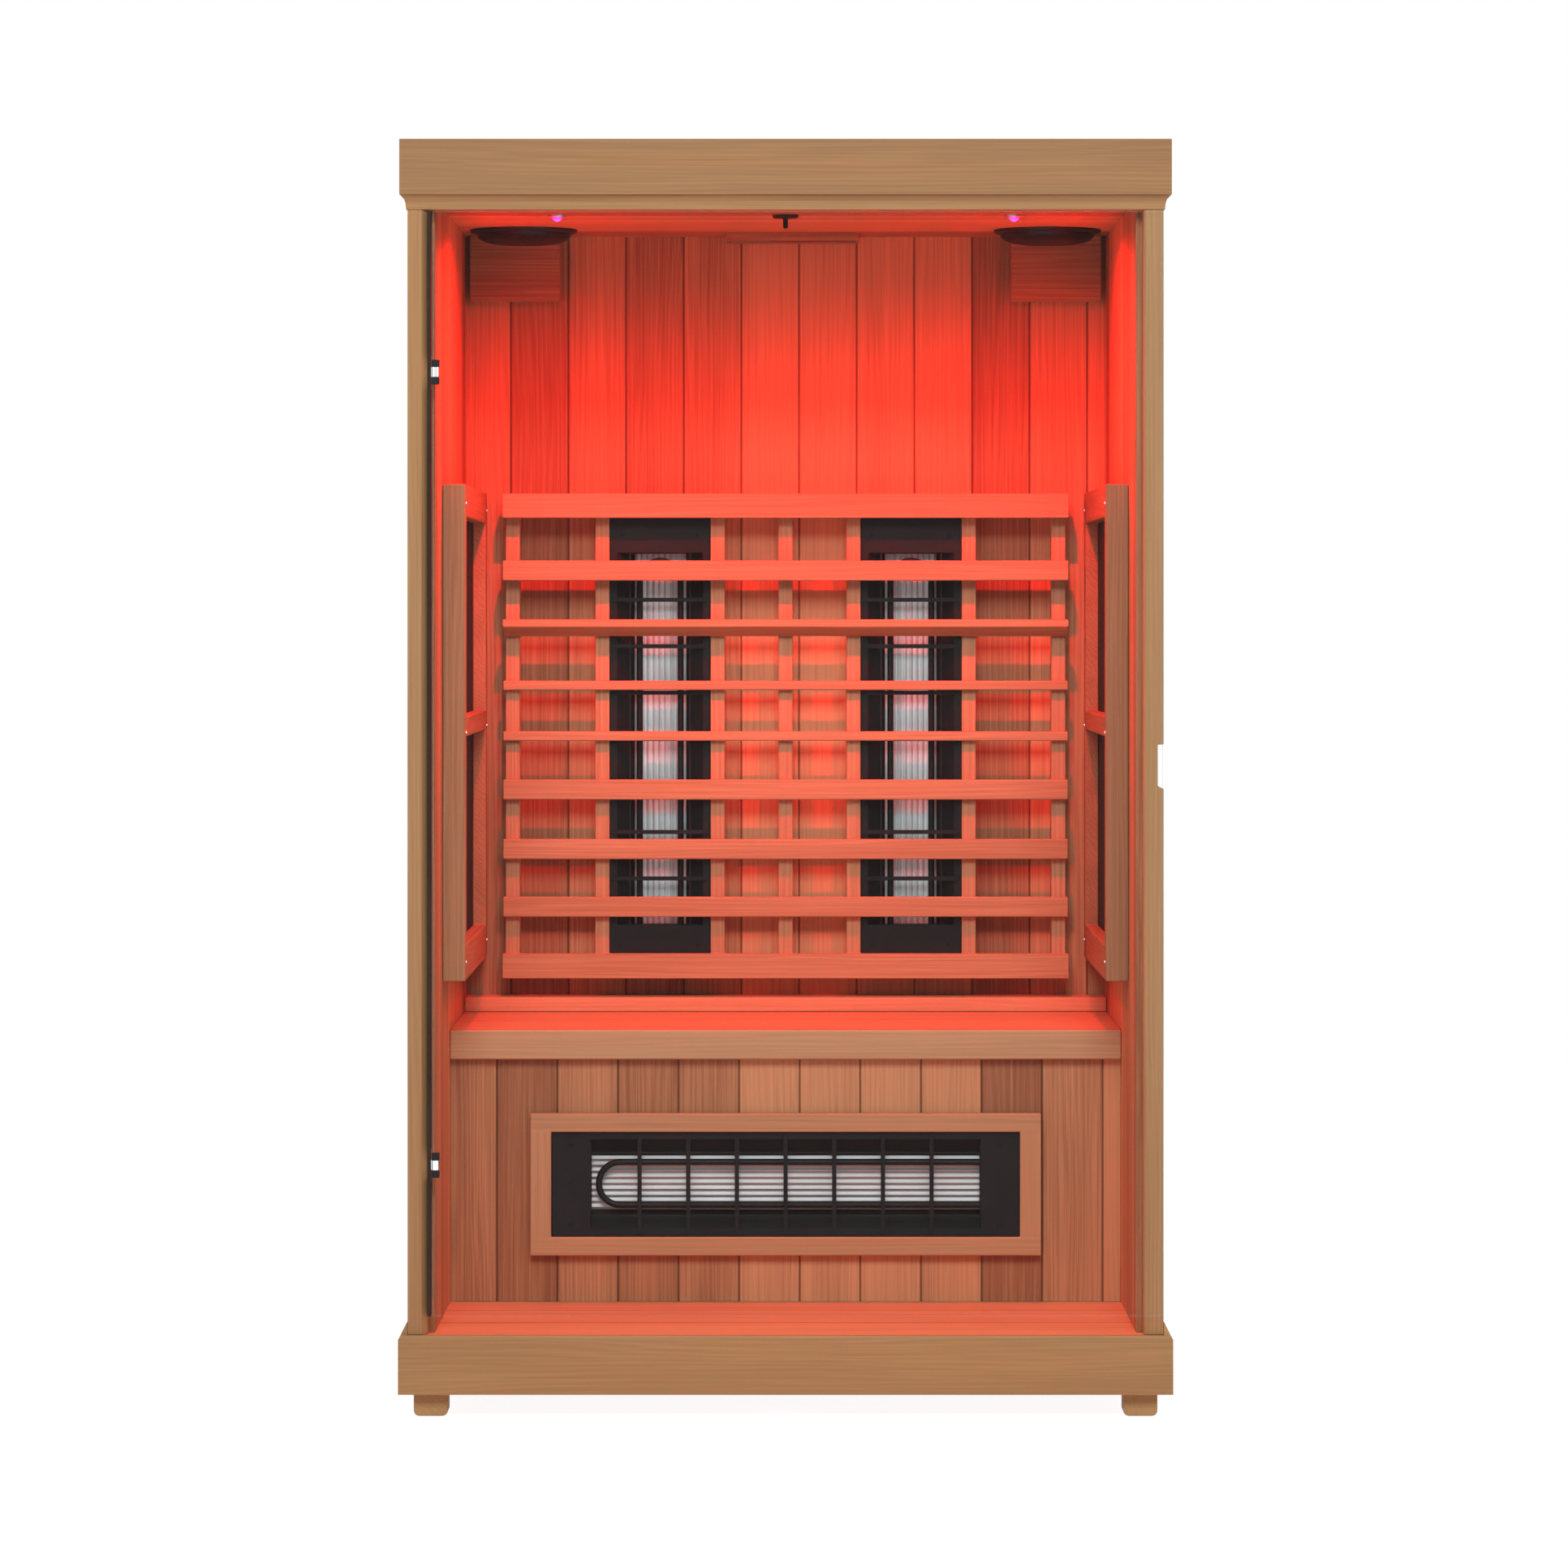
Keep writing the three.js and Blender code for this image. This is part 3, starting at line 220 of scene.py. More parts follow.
def cedar(name, dark, light, run, width, board=None, shift=0.0, turned=None, painted_outside_shade=None, batch=0.37):
    """Cedar with its grain along one axis. Boards side by side across the width each get their own
    tone, and painted shade darkens the groove at each joint. Where turned gives 1, the two axes that it
    names change places, and where the outside mask gives 1, the wood takes the outside tones that it
    names,
    which are painted shade: less red than the inside wood and darker at their light end, to offset the
    stronger front light on outside faces. Batch picks the tones of single boards."""
    material, tree, shader = principled(name, Specular_IOR_Level=0.28)
    axes = object_axes(tree)
    if turned:
        first, second, where = turned
        flag = where(axes)
        moved = axes[first] + (axes[second] - axes[first]) * flag
        axes[second] = axes[second] + (axes[first] - axes[second]) * flag
        axes[first] = moved
    along, across = axes[run], axes[width]
    deep = axes[({"x", "y", "z"} - {run, width}).pop()]
    if board:
        count = (across - shift) / board
        number = count.math("FLOOR", count)
        place = count - number
        joint = place.math("MINIMUM", place, 1 - place) * board
    else:
        number = along.math("FLOOR", deep * SAWN_PIECE + batch)
        joint = None
    grain = {"x": along + number * 3.7, "y": across + number * 0.31, "z": deep + number * 0.17}
    streak = noise(grain, STREAK_SCALE, 4.0, 0.7)
    figure = noise(grain, FIGURE_SCALE, 2.0, 0.5)
    phase = (grain["y"] + grain["z"]) * RING_RATE + figure * RING_SWAY
    rings = along.math("SINE", phase) * 0.5 + 0.5
    tone = along.node("TexWhiteNoise", {"W": number + 0.5}, noise_dimensions="1D")
    mix = streak * 0.8 + rings * 0.1 + figure * 0.55 + tone * 0.5 - 0.5
    tone_range = mix.step(0.0, 0.95)
    colour = tone_range.blend((*dark, 1), (*light, 1))
    colour = (figure.step(0.5, 0.8) * 0.5).blend(colour, FIGURE_TINT, "MULTIPLY")
    # Painted shade: on the outside faces the wood takes the outside tones, less red and darker at the
    # light end.
    if painted_outside_shade:
        outer_dark, outer_light, where = painted_outside_shade
        outer = tone_range.blend((*outer_dark, 1), (*outer_light, 1))
        colour = where(axes).blend(colour, outer)
    # Painted shade along each joint, standing for the shade in the groove between boards.
    if joint:
        groove_shade = 1 - joint.step(*GROOVE_SHADE_HALF)
        colour = (groove_shade * 0.72).blend(colour, GROOVE_SHADE_TINT, "MULTIPLY")
    tree.links.new(colour.socket, shader.inputs["Base Color"])
    tree.links.new((streak * 0.24 + 0.46).socket, shader.inputs["Roughness"])
    bump(tree, shader, streak * 0.7 + rings * 0.3, 0.3, 0.0006)
    return material


def dress(node, material, edge, body="cabin"):
    """A copy of a CAD piece: its triangles joined into faces, its edges eased, its flats kept flat."""
    bpy.ops.object.select_all(action="DESELECT")
    piece = bpy.data.objects.new(node + "_finished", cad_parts[node].data.copy())
    bpy.context.scene.collection.objects.link(piece)
    bpy.context.view_layer.objects.active = piece
    piece.select_set(True)
    bpy.ops.object.mode_set(mode="EDIT")
    bpy.ops.mesh.select_all(action="SELECT")
    bpy.ops.mesh.remove_doubles(threshold=0.00002)
    bpy.ops.mesh.dissolve_limited(angle_limit=math.radians(1))
    bpy.ops.object.mode_set(mode="OBJECT")
    eased = piece.modifiers.new("eased_edges", "BEVEL")
    eased.width = edge
    eased.segments = 2
    eased.limit_method = "ANGLE"
    eased.angle_limit = math.radians(40)
    bpy.ops.object.modifier_apply(modifier=eased.name)
    bpy.ops.object.shade_smooth_by_angle(angle=math.radians(35))
    flat = piece.modifiers.new("flat_faces", "WEIGHTED_NORMAL")
    flat.keep_sharp = True
    bpy.ops.object.modifier_apply(modifier=flat.name)
    piece.data.materials.clear()
    piece.data.materials.append(material)
    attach(piece, body)
    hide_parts(node)


ROUNDED = 0.003
EASED = 0.002
PRESSED = 0.0016
PLANED = 0.0015
LIGHT = 0.001
CRISP = 0.0008
CUT = 0.0006
FINE = 0.0004
# Outside tones, painted shade: the outside faces of the same cedar take less red tones than the inside,
# darker at the light end, to offset the stronger front light on them.
OUTSIDE_DARK = (0.305, 0.158, 0.067)
OUTSIDE_LIGHT = (0.525, 0.300, 0.133)
foot_cedar = cedar("foot_cedar", OUTSIDE_DARK, OUTSIDE_LIGHT, "y", "x")
for end in ("front", "rear"):
    for side in ("left", "right"):
        dress(f"foot_{end}_{side}", foot_cedar, EASED)


# Base: a plinth of four mitred cedar boards round a deck on joists. The sloped moulding on the sides
# and the back is run on the same boards, and the deck's boards lie across the cabin.
def side_boards(half_x, half_y):
    return lambda axes: (abs(axes["x"]) - abs(axes["y"])) > (half_x - half_y)


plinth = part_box("base_plinth")[1]
mitred = ("x", "y", side_boards(plinth.x, plinth.y))
PLINTH_DARK = (0.335, 0.192, 0.079)
PLINTH_LIGHT = (0.580, 0.360, 0.155)
plinth_cedar = cedar("plinth_cedar", PLINTH_DARK, PLINTH_LIGHT, "x", "z", turned=mitred)
dress("base_plinth", plinth_cedar, EASED)

INSIDE_DARK = (0.262, 0.091, 0.036)
INSIDE_LIGHT = (0.690, 0.335, 0.165)
DECK_BOARD = 0.16
deck_cedar = cedar("deck_cedar", INSIDE_DARK, INSIDE_LIGHT, "x", "y", DECK_BOARD, FRONT)
dress("floor_panel", deck_cedar, LIGHT)

# Walls: panels of upright cedar boards, tongued together with a V-groove at each joint, slotted into
# the plinth. The boards come from different trees, so each has its own tone.
BOARD = 0.0985
BOARD_SHIFT = 0.023
WALL_SKIN = 0.012
back_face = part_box("back_wall")[0].y + WALL_SKIN
side_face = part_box("right_wall")[0].x + WALL_SKIN
# The outside faces of the walls take the outside tones, which are painted shade.
back_outside = (OUTSIDE_DARK, OUTSIDE_LIGHT, lambda axes: axes["y"] > back_face)
side_outside = (OUTSIDE_DARK, OUTSIDE_LIGHT, lambda axes: abs(axes["x"]) > side_face)
back_cedar = cedar(
    "back_wall_cedar", INSIDE_DARK, INSIDE_LIGHT, "z", "x", BOARD, BOARD_SHIFT, painted_outside_shade=back_outside
)
side_cedar = cedar("side_wall_cedar", INSIDE_DARK, INSIDE_LIGHT, "z", "y", BOARD, painted_outside_shade=side_outside)
dress("back_wall", back_cedar, CRISP)
for side in ("left", "right"):
    dress(f"{side}_wall", side_cedar, CRISP)

# Front frame: two planed posts, eased towards the doorway, with a header between them. They are
# screwed to the side walls from inside, and the right one has the finger notch.
post_cedar = cedar("post_cedar", OUTSIDE_DARK, OUTSIDE_LIGHT, "z", "x")
header_cedar = cedar("header_cedar", INSIDE_DARK, INSIDE_LIGHT, "x", "z")
for side in ("left", "right"):
    dress(f"{side}_post", post_cedar, PLANED)
dress("front_header", header_cedar, LIGHT)

# Roof: a boarded panel on the walls, inside a cap of four mitred fascia boards with a cove under them.
# The cap hides the control box, which lies on the panel.
ROOF_BOARD = 0.0985
roof_cedar = cedar("roof_cedar", INSIDE_DARK, INSIDE_LIGHT, "x", "y", ROOF_BOARD, FRONT)
dress("roof_panel", roof_cedar, CRISP)
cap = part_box("roof_cap")[1]
cap_mitre = ("x", "y", side_boards(cap.x, cap.y))
cap_cedar = cedar("cap_cedar", OUTSIDE_DARK, OUTSIDE_LIGHT, "x", "z", turned=cap_mitre)
dress("roof_cap", cap_cedar, PLANED)


# Control box: a folded steel box, powder coated, screwed to the roof panel. Its lid overlaps the
# sides and is held by four pan-head screws, and a hexagon gland is on its back.
def black_coat(name, colour, rough, grain):
    material, tree, shader = principled(name, Specular_IOR_Level=0.14)
    axes = object_axes(tree)
    speckle = noise(axes, (grain, grain, grain), 2.0, 0.5)
    worn = noise(axes, (9.0, 9.0, 9.0), 3.0, 0.6)
    lighter = tuple(1.7 * part for part in colour)
    shade = (worn.step(0.35, 0.75) * 0.6 + speckle * 0.3).blend((*colour, 1), (*lighter, 1))
    tree.links.new(shade.socket, shader.inputs["Base Color"])
    tree.links.new((speckle * 0.18 + rough).socket, shader.inputs["Roughness"])
    bump(tree, shader, speckle, 0.25, 0.0002)
    return material


def select_faces(piece, wanted):
    bpy.ops.mesh.select_all(action="DESELECT")
    bpy.ops.object.mode_set(mode="OBJECT")
    for face in piece.data.polygons:
        face.select = wanted(face)
    bpy.ops.object.mode_set(mode="EDIT")
    bpy.ops.mesh.select_mode(type="FACE")


def finish_piece(piece, name, material, body="cabin", smooth=35):
    piece.name = name
    bpy.ops.object.select_all(action="DESELECT")
    bpy.context.view_layer.objects.active = piece
    piece.select_set(True)
    bpy.ops.object.transform_apply(location=True, rotation=True, scale=True)
    bpy.ops.object.shade_smooth_by_angle(angle=math.radians(smooth))
    piece.data.materials.clear()
    piece.data.materials.append(material)
    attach(piece, body)


def screws(name, places, facing, material, radius=0.0036, body="cabin"):
    """Pan-head screws with a hexagon socket, one modelled and the rest copied, joined as one set."""
    bpy.ops.object.select_all(action="DESELECT")
    bpy.ops.mesh.primitive_cylinder_add(vertices=12, radius=radius, depth=radius * 0.7)
    head = bpy.context.object
    bpy.ops.object.mode_set(mode="EDIT")
    select_faces(head, lambda face: face.normal.z > 0.9)
    bpy.ops.mesh.bevel(offset=radius * 0.25, segments=2)
    select_faces(head, lambda face: face.normal.z > 0.99)
    bpy.ops.mesh.inset(thickness=radius * 0.25, depth=0)
    bpy.ops.mesh.extrude_region_move(TRANSFORM_OT_translate={"value": (0, 0, -radius * 0.4)})
    bpy.ops.object.mode_set(mode="OBJECT")
    turn = Vector(facing).to_track_quat("Z", "Y").to_matrix().to_4x4()
    copies = []
    for place in places:
        copy = bpy.data.objects.new(name, head.data.copy())
        copy.data.transform(turn)
        copy.data.transform(turn.Translation(Vector(place) + Vector(facing) * radius * 0.3))
        bpy.context.scene.collection.objects.link(copy)
        copies.append(copy)
    bpy.data.objects.remove(head)
    bpy.ops.object.select_all(action="DESELECT")
    for copy in copies:
        copy.select_set(True)
    bpy.context.view_layer.objects.active = copies[0]
    bpy.ops.object.join()
    finish_piece(copies[0], name, material, body)


def steel(name, colour, rough, run, streaks=900.0):
    material, tree, shader = principled(name, Metallic=1.0)
    axes = object_axes(tree)
    scales = [6.0 if axis == run else streaks for axis in "xyz"]
    brushed = noise(axes, scales, 3.0, 0.6)
    cloud = noise(axes, (14.0, 14.0, 14.0), 2.0, 0.5)
    darker = tuple(0.72 * part for part in colour)
    shade = (brushed * 0.7 + cloud * 0.3).step(0.25, 0.7).blend((*darker, 1), (*colour, 1))
    tree.links.new(shade.socket, shader.inputs["Base Color"])
    tree.links.new((brushed * 0.2 + rough).socket, shader.inputs["Roughness"])
    bump(tree, shader, brushed, 0.12, 0.0001)
    return material


box_black = black_coat("box_black", (0.018, 0.018, 0.019), 0.42, 1400.0)
screw_steel = steel("screw_steel", (0.62, 0.62, 0.63), 0.22, "x")
dress("control_box", box_black, PLANED)
box_low, box_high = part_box("control_box")
LID_LAP = 0.003
LID_RISE = 0.004
LID_RIM = 0.012
LID_SINK = 0.0015
LID_SCREW_INSET = 0.006
GLAND = 0.018
box_back = box_high.y - GLAND
lid_size = (box_high.x - box_low.x + 2 * LID_LAP, box_back - box_low.y + 2 * LID_LAP, LID_RISE)
lid_place = (0, (box_low.y + box_back) / 2, box_high.z + LID_RISE / 2)
bpy.ops.object.select_all(action="DESELECT")
bpy.ops.mesh.primitive_cube_add(size=1, location=lid_place, scale=lid_size)
lid = bpy.context.object
bpy.ops.object.transform_apply(location=True, rotation=False, scale=True)
bpy.ops.object.mode_set(mode="EDIT")
select_faces(lid, lambda face: face.normal.z > 0.9)
bpy.ops.mesh.inset(thickness=LID_RIM, depth=0)
bpy.ops.mesh.extrude_region_move(TRANSFORM_OT_translate={"value": (0, 0, -LID_SINK)})
bpy.ops.object.mode_set(mode="OBJECT")
rounding = lid.modifiers.new("folded_edges", "BEVEL")
rounding.width = LIGHT
rounding.segments = 2
bpy.ops.object.modifier_apply(modifier=rounding.name)
finish_piece(lid, "control_box_lid", box_black)
half_x = lid_size[0] / 2 - LID_SCREW_INSET
half_y = lid_size[1] / 2 - LID_SCREW_INSET
lid_top = box_high.z + LID_RISE
lid_corners = [(x * half_x, lid_place[1] + y * half_y, lid_top) for x in (-1, 1) for y in (-1, 1)]
screws("control_box_screws", lid_corners, (0, 0, 1), screw_steel)

# Bench: cleats on three walls carry a seat of two wide boards. The front is boarded like the walls,
# and a planed nosing covers the seat's edge, with a raised rail where the seat meets the back wall.
SEAT_BOARD = 0.203
cleat_cedar = cedar("cleat_cedar", INSIDE_DARK, INSIDE_LIGHT, "x", "z")
bench_cedar = cedar("bench_front_cedar", INSIDE_DARK, INSIDE_LIGHT, "z", "x", BOARD, BOARD_SHIFT)
seat_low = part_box("bench_seat")[0]
seat_cedar = cedar("seat_cedar", INSIDE_DARK, INSIDE_LIGHT, "x", "y", SEAT_BOARD, seat_low.y)
nosing_cedar = cedar("nosing_cedar", (0.300, 0.156, 0.074), (0.590, 0.350, 0.187), "x", "z")
dress("bench_frame", cleat_cedar, LIGHT)
dress("bench_front_panel", bench_cedar, CRISP)
dress("bench_seat", seat_cedar, LIGHT)
dress("bench_nosing", nosing_cedar, ROUNDED)
rail_cedar = cedar("bench_rail_cedar", (0.44, 0.140, 0.064), (0.76, 0.300, 0.155), "x", "y")
dress("bench_back_rail", rail_cedar, ROUNDED)

# Leg heater: a pressed black housing in a butt-jointed cedar frame. Its rails run the full length,
# and the stiles stand between them.
leg_low, leg_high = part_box("leg_heater_frame")
house_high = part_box("leg_heater_housing")[1]
leg_middle = (leg_low.z + leg_high.z) / 2


def leg_stiles(axes):
    outside = abs(axes["x"]) > house_high.x
    return outside * (abs(axes["z"] - leg_middle) < (house_high.z - leg_middle))


FRAME_DARK = (0.262, 0.111, 0.048)
FRAME_LIGHT = (0.550, 0.293, 0.150)
leg_turn = ("x", "z", leg_stiles)
frame_cedar = cedar("heater_frame_cedar", FRAME_DARK, FRAME_LIGHT, "x", "z", turned=leg_turn)
dress("leg_heater_frame", frame_cedar, EASED)
heater_black = black_coat("heater_black", (0.010, 0.010, 0.0105), 0.5, 1800.0)
wire_black = black_coat("guard_black", (0.010, 0.010, 0.011), 0.5, 2600.0)
tube_black = black_coat("tube_black", (0.009, 0.009, 0.010), 0.36, 900.0)


# Tube heaters: a ribbed steel reflector lies in each housing, with a black U-shaped tube before it
# and a guard of flat bars. The tube is bent from one length, and its ends go into the end cap.
TUBE_STEPS = 32


def heater_tube(name, node, upright):
    low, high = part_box(node)
    radius = (high.y - low.y) / 2
    middle = (low + high) / 2
    across, length = (high.x - low.x, high.z - low.z) if upright else (high.z - low.z, high.x - low.x)
    bend = across / 2 - radius
    near = -length / 2 + radius + bend
    angles = [math.pi * i / TUBE_STEPS for i in range(TUBE_STEPS + 1)]
    arc = [(near - bend * math.sin(angle), bend * math.cos(angle)) for angle in angles]
    flat = [(length / 2, bend), *arc, (length / 2, -bend)]
    path = bpy.data.curves.new(name, "CURVE")
    path.dimensions = "3D"
    path.bevel_depth = radius
    path.bevel_resolution = 5
    path.use_fill_caps = True
    spline = path.splines.new("POLY")
    spline.points.add(len(flat) - 1)
    for point, (run, side) in zip(spline.points, flat):
        place = (side, 0, -run) if upright else (run, 0, side)
        point.co = (*(middle + Vector(place)), 1)
    tube = bpy.data.objects.new(name, path)
    bpy.context.scene.collection.objects.link(tube)
    bpy.ops.object.select_all(action="DESELECT")
    bpy.context.view_layer.objects.active = tube
    tube.select_set(True)
    bpy.ops.object.convert(target="MESH")
    finish_piece(tube, name, tube_black, smooth=60)
    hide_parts(node)


HEATER_END = 0.064
END_SCREW_INSET = 0.02
DULL_STEEL = (0.50, 0.51, 0.52)
# Painted light: the back heaters' reflectors are paler than the leg heater's and tinted blue-green, so
# that under the red lamps they show as bright neutral grey, as a reflection of the white room would.
PALE_STEEL = (0.78, 0.91, 0.93)
for unit, upright in (("leg_heater", False), ("left_back_heater", True), ("right_back_heater", True)):
    run, colour = ("z", PALE_STEEL) if upright else ("x", DULL_STEEL)
    reflector = steel(f"{unit}_steel", colour, 0.5, run, 700.0)
    dress(f"{unit}_housing", heater_black, PRESSED)
    dress(f"{unit}_reflector", reflector, FINE)
    dress(f"{unit}_guard", wire_black, CUT)
    heater_tube(f"{unit}_tube", f"{unit}_element", upright)
    low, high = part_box(f"{unit}_housing")
    middle = (low + high) / 2
    long, wide = (high.z - low.z, high.x - low.x) if upright else (high.x - low.x, high.z - low.z)
    end = long / 2 - HEATER_END / 2
    inset = wide / 2 - END_SCREW_INSET
    half_x, half_z = (inset, end) if upright else (end, inset)
    places = [(middle.x + x * half_x, low.y, middle.z + z * half_z) for x in (-1, 1) for z in (-1, 1)]
    screws(f"{unit}_screws", places, (0, -1, 0), heater_black)

# Backrest: upright ribs on the back wall with a rail at each end of them, and planed slats across,
# one of them turned to face the floor. All are screwed through the ribs from behind.
RAIL = 0.041
rest_low, rest_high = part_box("backrest_frame")


def ribs(axes):
    return (axes["z"] > rest_low.z + RAIL) * (axes["z"] < rest_high.z - RAIL)


SLAT_DARK = (0.420, 0.188, 0.090)
SLAT_LIGHT = (0.800, 0.455, 0.255)
rest_cedar = cedar("backrest_cedar", SLAT_DARK, SLAT_LIGHT, "x", "z", turned=("x", "z", ribs))
slat_cedar = cedar("slat_cedar", SLAT_DARK, SLAT_LIGHT, "x", "z")
dress("backrest_frame", rest_cedar, EASED)
for number in range(1, 8):
    dress(f"backrest_slat_{number}", slat_cedar, EASED)


# Side heaters: a cedar frame of two full-height stiles and three rails, screwed to the side wall over
# a flat heating panel, which is black woven carbon cloth laminated on a board.
STILE = 0.036
SCREW_END = 0.03
stile_low, stile_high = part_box("left_side_heater_frame")


def side_stiles(axes):
    middle = (stile_low.y + stile_high.y) / 2
    return abs(axes["y"] - middle) > ((stile_high.y - stile_low.y) / 2 - STILE)


stile_turn = ("y", "z", side_stiles)
stile_cedar = cedar("side_frame_cedar", FRAME_DARK, FRAME_LIGHT, "y", "z", turned=stile_turn, batch=3.5)
WEAVE = 0.004
CLOTH_DARK = (0.006, 0.005, 0.005, 1)
CLOTH_LIGHT = (0.022, 0.020, 0.020, 1)
carbon, cloth, cloth_shader = principled("carbon_cloth", Specular_IOR_Level=0.2)
cloth_axes = object_axes(cloth)
warp = cloth_axes["y"].math("SINE", cloth_axes["y"] * (2 * math.pi / WEAVE))
weft = cloth_axes["z"].math("SINE", cloth_axes["z"] * (2 * math.pi / WEAVE))
weave = warp * weft * 0.5 + 0.5
dust = noise(cloth_axes, (7.0, 7.0, 7.0), 3.0, 0.6)
cloth_colour = (weave * 0.6 + dust * 0.4).blend(CLOTH_DARK, CLOTH_LIGHT)
cloth.links.new(cloth_colour.socket, cloth_shader.inputs["Base Color"])
cloth.links.new((weave * 0.2 + 0.55).socket, cloth_shader.inputs["Roughness"])
bump(cloth, cloth_shader, weave, 0.4, 0.0003)
for side, outward in (("left", -1), ("right", 1)):
    dress(f"{side}_side_heater_frame", stile_cedar, EASED)
    dress(f"{side}_side_heater_panel", carbon, CRISP)
    low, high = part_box(f"{side}_side_heater_frame")
    face = high.x if outward < 0 else low.x
    ends = [(face, y, z) for y in (low.y + STILE / 2, high.y - STILE / 2)
            for z in (low.z + SCREW_END, (low.z + high.z) / 2, high.z - SCREW_END)]
    screws(f"{side}_side_heater_screws", ends, (-outward, 0, 0), screw_steel, 0.003)


# Ceiling fittings: two moulded speakers with a perforated dome inside a rolled rim, and two red light
# spots, each a lens in a turned bezel. All are pushed into holes of the roof panel.
TURN_STEPS = 64


def turned_piece(name, profile, centre, material, node=None):
    """A turned piece: a point is drawn out along the profile of radius and height, and then spun."""
    bpy.ops.object.select_all(action="DESELECT")
    bpy.ops.mesh.primitive_plane_add(size=0.01)
    piece = bpy.context.object
    bpy.ops.object.mode_set(mode="EDIT")
    bpy.ops.mesh.select_mode(type="VERT")
    bpy.ops.mesh.select_all(action="SELECT")
    bpy.ops.mesh.merge(type="CENTER")
    bpy.ops.transform.translate(value=(profile[0][0], 0, profile[0][1]))
    for (radius, height), (next_radius, next_height) in zip(profile, profile[1:]):
        move = (next_radius - radius, 0, next_height - height)
        bpy.ops.mesh.extrude_vertices_move(TRANSFORM_OT_translate={"value": move})
    bpy.ops.mesh.select_all(action="SELECT")
    bpy.ops.mesh.spin(steps=TURN_STEPS, angle=2 * math.pi, center=(0, 0, 0), axis=(0, 0, 1))
    bpy.ops.mesh.select_all(action="SELECT")
    bpy.ops.mesh.remove_doubles(threshold=0.00002)
    bpy.ops.mesh.normals_make_consistent(inside=False)
    bpy.ops.object.mode_set(mode="OBJECT")
    piece.location = centre
    finish_piece(piece, name, material)
    if node:
        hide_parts(node)


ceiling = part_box("roof_panel")[0].z
roof_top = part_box("roof_panel")[1].z
HOLE_PITCH = 0.0052
HOLE_FIELD = 0.078
GRILLE_SKIN = (0.008, 0.0075, 0.0075, 1)
HOLE_SHADE = (0.001, 0.001, 0.001, 1)


def grille_black(name, centre):
    material, tree, shader = principled(name, Specular_IOR_Level=0.2)
    axes = object_axes(tree)
    row = (axes["y"] - centre.y) / HOLE_PITCH
    odd = row.math("FLOORED_MODULO", row.math("FLOOR", row), 2.0) * 0.5
    column = (axes["x"] - centre.x) / HOLE_PITCH + odd
    u = row.math("FRACT", column) - 0.5
    v = row.math("FRACT", row) - 0.5
    from_hole = row.math("SQRT", u * u + v * v)
    across = axes["x"] - centre.x
    deep = axes["y"] - centre.y
    out = row.math("SQRT", across * across + deep * deep)
    # The perforation is painted: near-black dots of the hole shade stand for the shade inside holes that
    # are not cut, each with a bump.
    hole = (1 - from_hole.step(0.24, 0.34)) * (out < HOLE_FIELD) * (axes["z"] < ceiling)
    colour = hole.blend(GRILLE_SKIN, HOLE_SHADE)
    tree.links.new(colour.socket, shader.inputs["Base Color"])
    tree.links.new((hole * 0.4 + 0.42).socket, shader.inputs["Roughness"])
    bump(tree, shader, 1 - hole, 0.6, 0.0008)
    return material


FIT = 0.0003
GRILLE = 0.080
GRILLE_EDGE = 0.006
DOME_STEPS = 12
NECK = 0.075
MAGNET = 0.045
MAGNET_EDGE = 0.003
for side in ("left", "right"):
    low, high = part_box(f"{side}_speaker")
    centre = (low + high) / 2
    reach = (high.x - low.x) / 2
    drop = ceiling - low.z
    swell = [math.sin(math.pi / 2 * i / DOME_STEPS) for i in range(DOME_STEPS + 1)]
    depth = drop - GRILLE_EDGE
    dome = [(GRILLE * r, -GRILLE_EDGE - depth * math.sqrt(1 - r ** 4)) for r in swell]
    rim = [(0.0815, -0.004), (0.0825, -0.0065), (reach - 0.003, -0.0055), (reach - 0.0008, -0.004),
           (reach, -0.002), (reach, -FIT)]
    behind = [(NECK, -FIT), (NECK, roof_top - ceiling), (MAGNET, roof_top - ceiling)]
    top = high.z - ceiling
    magnet = [(MAGNET, top - MAGNET_EDGE), (MAGNET - MAGNET_EDGE, top), (0, top)]
    centre.z = ceiling
    grille = grille_black(f"{side}_speaker_grille", centre)
    profile = dome + rim + behind + magnet
    turned_piece(f"{side}_speaker_unit", profile, centre, grille, f"{side}_speaker")

